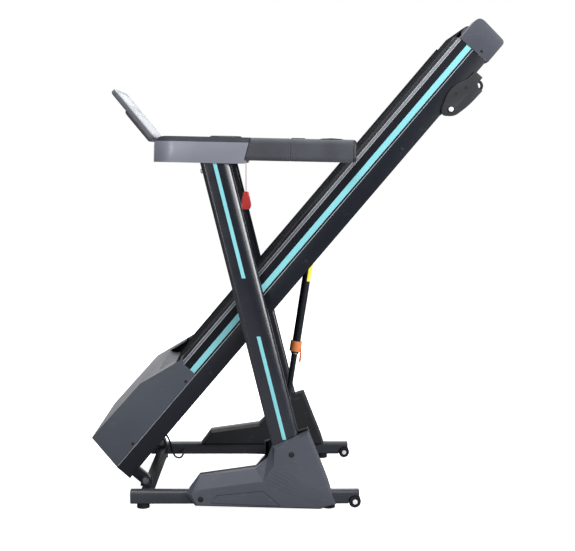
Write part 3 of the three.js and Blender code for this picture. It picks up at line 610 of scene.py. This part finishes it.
def upright_stripe(side_name, side, axis, far):
    """The teal line down the outer face, with a plain gap between its two runs."""
    half, offset, proud = 5.2, -1.5, 0.35
    section = box_outline(-half, far - 1, half, far + proud)
    shells = []
    for run in ((196, 486), (648, 966)):
        rings = [[WORLD(axis(z) + offset + u, side * v, z) for u, v in section] for z in run]
        shells.append(loft(rings))
    stripe = mesh_object(f"{side_name}_column_stripe", *joined(shells))
    dress(stripe, "base", TEAL)


# ---------- handlebars ----------
GRIP_TOP = 72.2


def handlebar(side_name, side):
    """Foam sleeve with a seam near the front, and a moulded plug in its rear end."""
    inner, outer, bottom, top = 300.3, 355.7, 9.2, GRIP_TOP
    near, rear, plug, seam = 252.6, 562, 553, 379
    middle, centre_w = (inner + outer) / 2, (bottom + top) / 2
    corners = [
        (inner, bottom, 15, 15), (outer, bottom, 15, 15), (outer, top, 17, 17), (inner, top, 15, 15)]
    section = elliptic_outline(corners)

    def ring(u, shrink=0.0, rake=0.0):
        scale_y = 1 - 2 * shrink / (outer - inner)
        scale_w = 1 - 2 * shrink / (top - bottom)
        return [DASH(u + rake * w / 72, side * (middle + (y - middle) * scale_y),
                     centre_w + (w - centre_w) * scale_w) for y, w in section]

    sleeve = [
        ring(near, 0, 17), ring(near + 24), ring(seam - 1.6), ring(seam - 0.6, 1.1),
        ring(seam + 0.6, 1.1), ring(seam + 1.6), ring(plug - 3), ring(plug - 1, 1.0), ring(plug - 0.5, 3)]
    grip = mesh_object(f"{side_name}_grip_sleeve", *loft(sleeve))
    dress(grip, "base", FINISH["grip_foam"], replaces=[f"{side_name}_handlebar"])
    turns = [math.radians(15 * k) for k in range(7)]
    cap = [ring(plug - 0.5, 2), ring(plug, 0.6)]
    cap += [ring(rear - 9 + 9 * math.sin(a), 0.6 + 9 * (1 - math.cos(a))) for a in turns]
    end = mesh_object(f"{side_name}_grip_plug", *loft(cap))
    dress(end, "base", FINISH["dark_plastic"])


def grip_top(side_name, side):
    """The pulse pad and the rocker's bezel, set in the top of a grip."""
    def on_top(outline, sunk, proud):
        return plate([(u, side * y) for u, y in outline], DASH, GRIP_TOP - sunk, GRIP_TOP + proud)

    pad = mesh_object(f"{side_name}_pulse_pad", *on_top(soft_box(381, 315, 419, 341, 6), 0.6, 1.6))
    dress(pad, "base", FINISH["rubber"], 0.8)
    bezel = mesh_object(f"{side_name}_rocker_bezel", *on_top(soft_box(459, 311, 525, 345, 6), 0.8, 0.5))
    dress(bezel, "base", FINISH["dark_plastic"], 0.4)


# ---------- display ----------
def stepped(levels, place):
    """A skin through rounded rectangles: each level is (u0, u1, half width, radius, w)."""
    rings = []
    for u0, u1, half, radius, w in levels:
        rings.append([place(u, y, w) for u, y in soft_box(u0, -half, u1, half, radius, 8)])
    return loft(rings)


def display():
    """The tilted display: a soft-edged housing, a pod behind and a recessed pale screen."""
    housing = stepped([
        (5, 176, 150, 14, -17.5), (1.5, 179.5, 153.5, 17, -15.5), (0, 181, 155, 18, -11),
        (0, 181, 155, 18, -5.2), (1.2, 179.8, 153.8, 17, -4.4)], DISPLAY)
    face = stepped([
        (1.6, 179.4, 153.4, 16.6, -4.8), (0.6, 180.4, 154.4, 17.4, -3.8), (0.6, 180.4, 154.4, 17.4, -2.4),
        (2.4, 178.6, 152.6, 16, -0.5), (6, 175, 149, 13, -0.1), (11, 168, 142, 9, -0.1),
        (12.4, 166.6, 140.6, 8, -1.6)], DISPLAY)
    dress(mesh_object("display_frame", *face), "base", DISPLAY_FACE)
    pod = stepped([
        (64, 180, 120, 12, -15), (66, 179, 119, 12, -22), (70, 177, 115, 11, -25.5),
        (76, 174, 108, 9, -26.4)], DISPLAY)
    ribs = [slab(soft_box(u, -27, u + 3, -24, 0.6), DISPLAY, -70, 70) for u in (92, 102, 112, 122, 132)]
    neck = slab([(170, -14), (170, -3.3), (202.2, -3.3), (204.4, -6.8), (207.3, -10.5), (210.6, -14)],
                DISPLAY, -89.5, 89.5)
    body = mesh_object("display_body", *joined([housing, pod, neck]))
    dress(body, "base", DISPLAY_GREY, replaces=["display_housing"])
    vents = mesh_object("display_vents", *joined(ribs))
    dress(vents, "base", FINISH["dark_plastic"])
    glass = mesh_object("display_glass", *stepped([
        (12.2, 166.8, 140.8, 8, -1.9), (12.2, 166.8, 140.8, 8, -1.3), (13, 166, 140, 7.4, -1.0)], DISPLAY))
    dress(glass, "base", FINISH["screen"], replaces=["display_screen"])
    readout()
    sleeve = rounded([(183, -14.8, 1), (183, -2.5, 1), (198, -2.5, 1), (201, -14.8, 1)])
    sleeves = [slab(sleeve, DISPLAY, y, y + 18) for y in (-86, -9, 68)]
    neck_ribs = mesh_object("display_neck_ribs", *joined(sleeves))
    dress(neck_ribs, "base", FINISH["dark_plastic"], 0.6)


def readout():
    """Four windows of three noughts, each of four strokes, with a bar under every window."""
    width, height, line, ink = 11, 20, 1.8, (-1.1, -0.96)
    shells = []
    for window in (-102, -36, 30, 96):
        for digit in (-16, 0, 16):
            y, u = window + digit, 62
            for du, dy, long_u in ((0, 0, False), (height, 0, False), (height / 2, -width / 2, True),
                                   (height / 2, width / 2, True)):
                half_u = (height / 2 - 1 if long_u else line / 2)
                half_y = (line / 2 if long_u else width / 2 - 1)
                mark = box_outline(u + du - half_u, y + dy - half_y, u + du + half_u, y + dy + half_y)
                shells.append(plate(mark, DISPLAY, *ink))
        shells.append(plate(box_outline(96, window - 20, 98, window + 20), DISPLAY, *ink))
    figures = mesh_object("display_figures", *joined(shells))
    dress(figures, "base", LCD)


# ---------- console ----------
def ring_of(profile, spot, axis, sides=40):
    """A closed ring about an axis; the profile (radius, height) is a closed loop."""
    one, two = square_to(axis)
    count = len(profile)
    points, faces = [], []
    for k in range(sides):
        a = 2 * math.pi * k / sides
        for radius, reach in profile:
            points.append(spot + MM * (radius * (math.cos(a) * one + math.sin(a) * two) + reach * axis))
        for i in range(count):
            j, after = (i + 1) % count, (k + 1) % sides
            faces.append((k * count + i, k * count + j, after * count + j, after * count + i))
    return points, faces


LID_TOP = 72


def console_side(side_name, side):
    """One bottle holder's rim and rubber mat, and a dark strip of painted shade in the gap between the console and
    its handlebar.
    """
    along, across, floor = 198, side * 256, 19
    rim_profile = [
        (37.2, 1.5), (37.2, 3.4), (39, 4.4), (42, 4.2), (44.5, 2.2), (45, -0.4), (42, -0.6), (37.2, -0.6)]
    rim = ring_of(rim_profile, DASH(along, across, LID_TOP), DASH.up)
    dress(mesh_object(f"{side_name}_bottle_rim", *rim), "base", FINISH["dark_plastic"])
    mat_profile = [(0, 0.2), (35.5, 0.2), (36.4, 0.8), (36.4, 1.6), (35, 2), (0, 2)]
    mat = turned_to(mat_profile, DASH(along, across, floor), DASH.up, 40)
    dress(mesh_object(f"{side_name}_bottle_mat", *mat), "base", FINISH["rubber"])
    # A dark strip of painted shade in the gap between the console and its handlebar.
    gap = slab([(252.8, 10), (254.8, 10), (269, 70), (267, 70)], DASH, side * 355, side * 356.2)
    dress(mesh_object(f"{side_name}_console_gap", *gap), "base", PAINTED_SHADE)


def console_keys():
    """The key panel, the collars and marks of the two buttons, and the soft keys beside them."""
    panel = plate(soft_box(176, -110, 236, 110, 12), DASH, LID_TOP - 0.5, LID_TOP + 0.3)
    dress(mesh_object("console_key_panel", *panel), "base", PANEL_BLACK)
    collar_profile = [(15.6, -0.4), (15.6, 1.6), (17, 2.2), (19.6, 1.4), (20.4, -0.4)]
    for name, y in (("start_button", -46), ("stop_button", 46)):
        collar = ring_of(collar_profile, DASH(208, y, LID_TOP), DASH.up)
        dress(mesh_object(f"{name}_collar", *collar), "base", FINISH["steel_bright"])
    marks = {"start_button": [(214, -46), (205, -51.5), (205, -40.5)],
             "stop_button": box_outline(203.5, 41.5, 212.5, 50.5)}
    for name, outline in marks.items():
        mark = plate(outline, DASH, LID_TOP + 2.2, LID_TOP + 2.65)
        dress(mesh_object(f"{name}_mark", *mark), name, PALE_PRINT_AND_HIGHLIGHT)
    keys = [soft_box(u, y - 7, u + 12, y + 7, 3) for u in (190, 212) for y in (-92, -74, 74, 92)]
    pads = joined([plate(key, DASH, LID_TOP, LID_TOP + 1.1) for key in keys])
    dress(mesh_object("console_soft_keys", *pads), "base", FINISH["rubber"], 0.4)


# ---------- screws and other small fastenings ----------
def screw(name, spot, axis, body, radius):
    """A pan head on the surface at spot, with a dark cross of painted shade laid in its face for the recess."""
    profile = [
        (0, -0.6), (radius, -0.6), (radius, 0.5), (radius * 0.75, 1.1), (radius * 0.3, 1.3), (0, 1.3)]
    dress(mesh_object(name, *turned_to(profile, spot, axis, 20)), body, SCREW)
    one, two = square_to(axis)
    arm = box_outline(radius * -0.6, radius * -0.12, radius * 0.6, radius * 0.12)
    arms = [loft([[spot + MM * (u * a + v * b + w * axis) for u, v in arm] for w in (0.8, 1.36)])
            for a, b in ((one, two), (two, one))]
    dress(mesh_object(f"{name}_cross", *joined(arms)), body, PAINTED_SHADE)


# A raised dark ring of painted shade round a screw or bolt head.
def shade_ring(name, spot, axis, radius, body):
    profile = [(radius, -0.4), (radius, 0.5), (radius + 1.6, 0.8), (radius + 3, 0.3), (radius + 3, -0.4)]
    obj = mesh_object(name, *ring_of(profile, spot, axis, 32))
    dress(obj, body, PAINTED_SHADE)


# ---------- deck ----------
DECK_HALF = 284


def deck_trim(side_name, side):
    """The teal band, with a dark line of painted shade and a bright line of painted highlight under it; the foot
    rail's lit top edges and bevel as painted highlight, and its ribs.
    """
    front, rear = 322.4, 1518

    def strip(name, proud, t0, t1, material, start=front):
        inside, outside = DECK_HALF - 0.8, DECK_HALF + proud
        line = slab(box_outline(start, t0, rear, t1), DECK, side * inside, side * outside)
        dress(mesh_object(f"{side_name}_{name}", *line), "deck", material)

    strip("deck_band", 0.35, 93, 109, TEAL)
    # A dark line of painted shade in the joint under the teal band.
    strip("deck_seam_shade", 0.12, 88.2, 90.2, PAINTED_SHADE)
    # A bright line of painted highlight along the steel rail's top edge.
    strip("deck_edge_highlight", 0.3, 86.2, 87.7, PALE_PRINT_AND_HIGHLIGHT, -20)

    def inlay(edge):
        proud = [(y + 0.25, t + 0.2) for y, t in reversed(edge)]
        return loft([[DECK(s, side * y, t) for y, t in edge + proud] for s in (front, rear)])

    # Two lines of painted highlight along the foot rail's outer and inner top edges.
    lines = [inlay([(283.9, 130.2), (282.9, 131.5)]), inlay([(275.4, 137.3), (272.4, 138.8)])]
    double_line = mesh_object(f"{side_name}_foot_rail_highlight_lines", *joined(lines))
    dress(double_line, "deck", PALE_PRINT_AND_HIGHLIGHT)
    # A band of painted highlight across the foot rail's lit top bevel, between the two lines.
    band = inlay([(282.7, 131.7), (280, 135), (275.7, 137.15)])
    dress(mesh_object(f"{side_name}_foot_rail_lit_top", *band), "deck", RAIL_TOP_HIGHLIGHT)
    ribs = []
    for y in (228 + 6.5 * k for k in range(5)):
        t = 147.35 - (y - 222) * 1.5 / 36  # the rail's top falls gently outwards
        profile = [(y - 1.1, t - 0.6), (y + 1.1, t - 0.6), (y + 0.6, t + 0.55), (y - 0.6, t + 0.55)]
        ribs.append(loft([[DECK(s, side * v, w) for v, w in profile] for s in (front + 14, rear - 14)]))
    dress(mesh_object(f"{side_name}_foot_rail_ribs", *joined(ribs)), "deck", RIB)


def deck_screws(side_name, side):
    """The screws of the end cap, the hood and the deck rail."""
    out = Vector((0, side, 0))
    screw(f"{side_name}_cap_screw", DECK(1531, side * 286, 66), out, "deck", 4.6)
    for k, (s, t) in enumerate(((291, 96), (57.5, 96))):
        screw(f"{side_name}_hood_screw_{k}", DECK(s, side * 288, t), out, "deck", 4.4)
    for k, s in enumerate((352, 768, 1180)):
        screw(f"{side_name}_rail_bolt_{k}", DECK(s, side * 284, 58), out, "deck", 5.2)


def incline_details(side_name, side):
    """An incline foot's bolt in its ring of painted shade, two dimples drawn as rings of painted shade, and the
    hub cap of the foot's wheel.
    """
    body = f"{side_name}_incline_foot"
    out = Vector((0, side, 0))
    spot = DECK(1353.5, side * 290, 26.3)
    shade_ring(f"{side_name}_incline_ring", spot, out, 7.2, body)
    head = turned_to([(0, -0.5), (7, -0.5), (7, 3.4), (5.6, 4.4), (0, 4.8)], spot, out)
    dress(mesh_object(f"{side_name}_incline_bolt", *head), body, PALE_METAL)
    dimple_profile = [(2.4, -0.4), (2.4, 0.5), (3.6, 0.5), (3.6, -0.4)]
    for k, (s, t) in enumerate(((1425, 34), (1395, 44))):
        dimple = ring_of(dimple_profile, DECK(s, side * 290, t), out, 20)
        dress(mesh_object(f"{side_name}_incline_dimple_{k}", *dimple), body, PAINTED_SHADE)
    hub_profile = [(0, 0), (9, 0), (9.6, 0.4), (9.6, 1.2), (8.4, 1.8), (0, 1.8)]
    hub = turned_to(hub_profile, DECK(1449.5, side * 284, 13.8), out)
    wheel = f"{side_name}_incline_wheel"
    dress(mesh_object(f"{side_name}_incline_hub", *hub), wheel, PALE_METAL)


# ---------- hood ----------
def belt_mouth():
    """The scoop over the mouth where the belt goes in, and dark lines of painted shade along the mouth's edges."""
    outer = [(254.3, 172.2), (257.5, 160.5), (263.5, 150), (272, 142)]
    inner = [(270.9, 140.8), (262.1, 149), (256, 160), (252.6, 171.8)]
    scoop = mesh_object("hood_scoop", *slab(outer + inner, DECK, -211, 211))
    dress(scoop, "deck", FINISH["hood_plastic"])
    mouth = [(252, 172.6), (257, 158), (275, 142.5), (322, 142.2)]
    for side_name, side in SIDES:
        path = [DECK(s, side * 211.6, t) for s, t in mouth]
        lip = mesh_object(f"{side_name}_mouth_edge_shade", *tube(curve_through(path, 5), 0.0014, 8))
        dress(lip, "deck", PAINTED_SHADE)


def front_wall(t):
    """How far along the deck the hood's leaning front wall stands, at the height t."""
    return -23.5 + 18 * (t - 88.1) / 107.9


def hood_front():
    """Two rows of cooling slots in the hood's front wall, drawn as dark strips of painted shade, and the three
    pins of the mains inlet.
    """
    slots = []
    for y in (-150 + 16 * k for k in range(13)):
        for t0, t1 in ((152, 164), (168, 180)):
            s0, s1 = front_wall(t0), front_wall(t1)
            slot = [(s0 - 0.2, t0), (s1 - 0.2, t1), (s1 + 1.5, t1), (s0 + 1.5, t0)]
            slots.append(slab(slot, DECK, y - 2, y + 2))
    dress(mesh_object("hood_slots", *joined(slots)), "deck", PAINTED_SHADE)
    pins = []
    for y, t in ((155.5, 132.6), (164.5, 132.6), (160, 139.4)):
        s = front_wall(t)
        pins.append(slab(box_outline(s - 0.5, t - 1.8, s + 10, t + 1.8), DECK, y - 0.9, y + 0.9))
    dress(mesh_object("inlet_pins", *joined(pins)), "deck", FINISH["steel_bright"], 0.2)


# ---------- base ----------
def base_rail(side_name, side):
    """The oval-cornered base tube, cut away round the wheel, and the plug in its front end."""
    low, high = (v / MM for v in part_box(f"{side_name}_base_rail"))
    hub, reach, crown, heel, web = centre(f"{side_name}_transport_wheel") / MM, 19, 9, 4, 2
    rear = high.x
    first = math.asin((low.z - hub.z) / reach)
    last = math.acos((rear - hub.x) / reach)
    arc = [math.pi - first - (math.pi - first - last) * k / 14 for k in range(15)]
    recess = [(hub.x + reach * math.cos(a), hub.z + reach * math.sin(a)) for a in arc]
    rings = []
    near, far = sorted((abs(low.y), abs(high.y)))
    turns = [math.radians(15 * k) for k in range(7)]
    rises = [(near, t) for t in turns] + [(far, t) for t in reversed(turns)]
    for edge, t in rises:
        inward = 1 if edge == near else -1
        y = edge + inward * crown * (1 - math.cos(t))
        top = high.z - crown * (1 - math.sin(t))
        bottom = low.z + heel * (1 - math.sin(t))
        outline = [(low.x, bottom), (recess[0][0], bottom), *recess[1:], (rear, top), (low.x, top)]
        rings.append([WORLD(x, side * y, z) for x, z in outline])
    middle = (near + far) / 2
    fin = box_outline(hub.x - 24, low.z, rear, high.z - 3)
    shells = [loft(rings), slab(fin, WORLD, side * (middle - web), side * (middle + web))]
    rail = mesh_object(f"{side_name}_base_tube", *joined(shells))
    dress(rail, "base", BASE_STEEL, replaces=[f"{side_name}_base_rail"])
    section = elliptic_outline([(near + 2, low.z + 2, 3, 3), (far - 2, low.z + 2, 3, 3),
                                (far - 2, high.z - 2, 8, 8), (near + 2, high.z - 2, 8, 8)], 5)
    plug = mesh_object(f"{side_name}_rail_plug", *loft(
        [[WORLD(x, side * y, z) for y, z in section] for x in (low.x - 0.6, low.x + 4)]))
    dress(plug, "base", FINISH["dark_plastic"], 0.5)


def transport_wheel(side_name):
    """Twin tyres, one on each side of the rail's web, each with a rounded tread and a dished face."""
    node = f"{side_name}_transport_wheel"
    low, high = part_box(node)
    spot = (low + high) / 2
    half = (high.y - low.y) / 2 / MM
    radius = (high.z - low.z) / 2 / MM
    gap = 3.5
    tyre = [
        (4.6, gap), (radius - 1.6, gap), (radius, gap + 2), (radius, half - 3), (radius - 0.8, half - 1.4),
        (radius - 2.6, half), (radius - 4.6, half), (radius - 5.4, half - 1.2), (8.4, half - 1.2),
        (8, half - 0.2), (4.6, half - 0.2)]
    shells = [ring_of([(r, way * y) for r, y in tyre], spot, Vector((0, 1, 0)), 48) for way in (-1, 1)]
    shells.append(ring_of(box_outline(4.6, -gap, 7, gap), spot, Vector((0, 1, 0)), 32))
    tyres = mesh_object(f"{side_name}_tyres", *joined(shells))
    dress(tyres, node, FINISH["rubber"], replaces=[node])


def foot_pad(side_name, end):
    """A rubber foot with a waist and a ribbed side."""
    node = f"{side_name}_{end}_foot"
    low, high = (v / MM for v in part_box(node))
    spot = Vector(((low.x + high.x) / 2, (low.y + high.y) / 2, low.z)) * MM
    radius, height = (high.x - low.x) / 2, high.z - low.z
    profile = [
        (0, 0), (radius - 3.5, 0), (radius - 1, 0.8), (radius, 2.6), (radius, 4.6), (radius - 1.1, 5.4),
        (radius - 1.1, 6.2), (radius, 7), (radius, 8.6), (radius - 1.1, 9.4), (radius - 1.1, 10.2),
        (radius, 11), (radius, height - 0.8), (radius - 1, height), (0, height)]
    pad = mesh_object(f"{node}_pad", *turned_to(profile, spot, Vector((0, 0, 1)), 40))
    dress(pad, "base", FINISH["rubber"], replaces=[node])


def shroud_details(side_name, side):
    """The groove round the outer cover's panel as a dark line of painted shade, six fine creases above it darkened
    with painted shade, and two screws each in a ring of painted shade.
    """
    face = 374
    out = Vector((0, side, 0))
    panel = [(-42, 13), (-90, 56), (-219, 43), (-235, 22), (-42, 13)]
    groove = tube([WORLD(x, side * (face - 0.1), z) for x, z in panel], 0.6 * MM, 8)
    dress(mesh_object(f"{side_name}_shroud_groove", *groove), "base", PAINTED_SHADE)
    # Each crease is a thin line of darker painted shade.
    for k in range(6):
        start, end = (-57 - 5.5 * k, 124 - 9 * k), (96 - 7 * k, 33 - 3.4 * k)
        middle = [start[i] + 0.5 * (end[i] - start[i]) for i in (0, 1)]
        path = [WORLD(x, side * (face - 0.25), z) for x, z in (start, middle, end)]
        crease = mesh_object(f"{side_name}_shroud_crease_shade_{k}", *tube(path, 0.7 * MM, 8))
        dress(crease, "base", CREASE_SHADE)
    for place, x, z in (("front", -264, 32), ("top", -11, 158)):
        spot = WORLD(x, side * face, z)
        screw(f"{side_name}_shroud_screw_{place}", spot, out, "base", 5.4)
        shade_ring(f"{side_name}_shroud_recess_{place}", spot, out, 5, "base")


# ---------- strut ----------
def strut_details():
    """The tube's label, the wiper ring where the rod goes in, and the latch's collar with its tab."""
    turns = [math.radians(-80 + 10 * k) for k in range(17)]
    wrap = [(r * math.cos(a), r * math.sin(a))
            for r, way in ((12.85, 1), (12.4, -1)) for a in turns[::way]]
    label = loft([[STRUT(u, y, w) for u, y in wrap] for w in (538, 592)])
    dress(mesh_object("strut_label", *label), "strut_tube", YELLOW)
    wiper = ring_of(box_outline(10.6, 314.6, 11, 317.8), STRUT.origin, STRUT.up)
    dress(mesh_object("strut_wiper", *wiper), "strut_tube", FINISH["steel_bright"])
    collar_profile = [(15.3, 322), (16.8, 322), (17.4, 323), (17.4, 353), (16.6, 354), (15.3, 354)]
    tab = rounded([
        (14.8, 330, 1), (18.4, 332, 2), (22.6, 306, 3), (21.6, 290, 3), (16.6, 292, 2), (16.8, 308, 2)])
    shells = [ring_of(collar_profile, STRUT.origin, STRUT.up, 48), slab(tab, STRUT, -10, 10)]
    collar = mesh_object("latch_collar", *joined(shells))
    dress(collar, "latch_lever", FINISH["orange_plastic"], 0.6, ["latch_lever"])


# ---------- CAD nodes that stay as they are ----------
# millimetres, for the nodes whose name holds the key; the first key that fits counts
BEVELS = {
    "cross_tube": 2.0, "shroud": 1.6, "deck_rail": 1.2, "foot_rail": 0.6, "end_cap": 2.0,
    "motor_hood": 1.4, "console_lower": 1.2, "pivot_bolt": 0.8, "wheel_bolt": 0.8,
    "incline_foot": 1.0, "incline_wheel": 1.5, "button": 1.6, "rocker": 0.8,
    "safety_key": 1.2, "power": 0.5, "strut_cross": 1.5, "rear_cross": 1.5,
}

# nodes that differ from their slot's finish
SPECIAL = {
    # The inner shrouds get near-black painted shade for the shadow they sit in.
    "left_inner_shroud": SHADED_SHROUD_INSIDE,
    "right_inner_shroud": SHADED_SHROUD_INSIDE,
    "left_wheel_bolt": PALE_METAL,
    "right_wheel_bolt": PALE_METAL,
    "console_lower_shell": moulded("console_grey", linear(116, 119, 129), linear(128, 131, 143), 0.3,
                                   depth=0.1, specular=0.9),
    "console_upper_shell": moulded("console_lid", linear(60, 62, 68), linear(70, 72, 79), 0.58,
                                   specular=0.2),
    "left_pivot_bolt": BLUED,
    "right_pivot_bolt": BLUED,
}


def finish_nodes():
    """Gives each CAD node that still shows its slot's finish, rounded edges and smooth shading."""
    for subpart in frame["record"]["subparts"]:
        obj = frame["nodes"][subpart["node"]]
        if obj.hide_render:
            continue
        obj.data.materials.clear()
        obj.data.materials.append(SPECIAL.get(subpart["node"], FINISH[subpart["material_slot"]]))
        bevel = next((width for key, width in BEVELS.items() if key in subpart["node"]), 0)
        smoothing = FACETED if "shroud" in subpart["node"] else SMOOTHING
        soften(obj, bevel, weld=True, smoothing=smoothing)


# ---------- stage ----------
def seen_or_lit(tree, seen, lit, target):
    """Shows one shader to the camera and another to the light that reaches the object."""
    mix, ray = tree.nodes.new("ShaderNodeMixShader"), tree.nodes.new("ShaderNodeLightPath")
    tree.links.new(ray.outputs["Is Camera Ray"], mix.inputs["Fac"])
    tree.links.new(lit, mix.inputs[1])
    tree.links.new(seen, mix.inputs[2])
    tree.links.new(mix.outputs["Shader"], target)


def add_floor():
    """A white sweep: bright where the camera sees it, a mild bounce for the object."""
    reach = 30
    points = [(x, y, 0) for x, y in box_outline(-reach, -reach, reach, reach)]
    floor = mesh_object("floor", points, [(0, 1, 2, 3)])
    surface = Surface("studio_floor", 0.8, specular=0.2)
    surface.colour(linear(236, 236, 236), linear(242, 242, 242), 1.5)
    surface.shader.inputs["Emission Color"].default_value = (1, 1, 1, 1)
    surface.shader.inputs["Emission Strength"].default_value = 0.9
    bounce = surface.add("ShaderNodeBsdfDiffuse")
    bounce.inputs["Color"].default_value = (0.32, 0.32, 0.33, 1)
    target = surface.tree.nodes["Material Output"].inputs["Surface"]
    seen_or_lit(surface.tree, surface.shader.outputs["BSDF"], bounce.outputs["BSDF"], target)
    floor.data.materials.append(surface.material)
    floor.location.z = -0.0005


def add_world():
    """White to the camera, and a dim even grey as a light, so that dark plastics keep their depth."""
    world = bpy.data.worlds.new("studio")
    world.use_nodes = True
    bpy.context.scene.world = world
    tree = world.node_tree
    seen, glow = tree.nodes["Background"], tree.nodes.new("ShaderNodeBackground")
    seen.inputs["Color"].default_value = (1, 1, 1, 1)
    glow.inputs["Color"].default_value = (0.94, 0.97, 1, 1)
    glow.inputs["Strength"].default_value = 0.16
    target = tree.nodes["World Output"].inputs["Surface"]
    seen_or_lit(tree, seen.outputs["Background"], glow.outputs["Background"], target)


def softbox(name, location, target, width, height, power):
    data = bpy.data.lights.new(name, "AREA")
    data.shape = "RECTANGLE"
    data.size, data.size_y = width, height
    data.energy = power
    light = bpy.data.objects.new(name, data)
    light.location = location
    light.rotation_euler = (Vector(target) - Vector(location)).to_track_quat("-Z", "Y").to_euler()
    bpy.context.scene.collection.objects.link(light)


def add_lights():
    """Soft panels: three above, a key and a streak at the right, a strip at the left and one behind."""
    middle = (0, 0, 0.6)
    softbox("overhead", (-0.3, 0.3, 4.4), middle, 3.4, 3.0, 165)
    softbox("upper_left", (-2.0, 0.2, 4.2), middle, 2.0, 1.6, 62)
    softbox("high_front", (-0.3, -3.8, 4.6), middle, 2.4, 1.2, 120)
    softbox("key_right", (3.6, -2.4, 2.1), (0, 0, 0.8), 1.6, 2.4, 185)
    softbox("streak_right", (2.9, -3.9, 2.1), (0, 0, 0.8), 1.5, 1.8, 46)
    softbox("strip_left", (-1.5, -4.9, 1.4), (0, 0, 0.8), 0.6, 2.6, 32)
    softbox("behind", (0, 4.4, 1.7), (0, 0, 0.9), 7.0, 4.0, 80)


for side_label, side_sign in SIDES:
    upright(side_label, side_sign)
    handlebar(side_label, side_sign)
    grip_top(side_label, side_sign)
    deck_trim(side_label, side_sign)
    deck_screws(side_label, side_sign)
    incline_details(side_label, side_sign)
    base_rail(side_label, side_sign)
    transport_wheel(side_label)
    foot_pad(side_label, "front")
    foot_pad(side_label, "rear")
    shroud_details(side_label, side_sign)
display()
for side_label, side_sign in SIDES:
    console_side(side_label, side_sign)
console_keys()
belt_mouth()
hood_front()
strut_details()
finish_nodes()
add_floor()
add_world()
add_lights()
bpy.context.scene.view_settings.view_transform = "Standard"
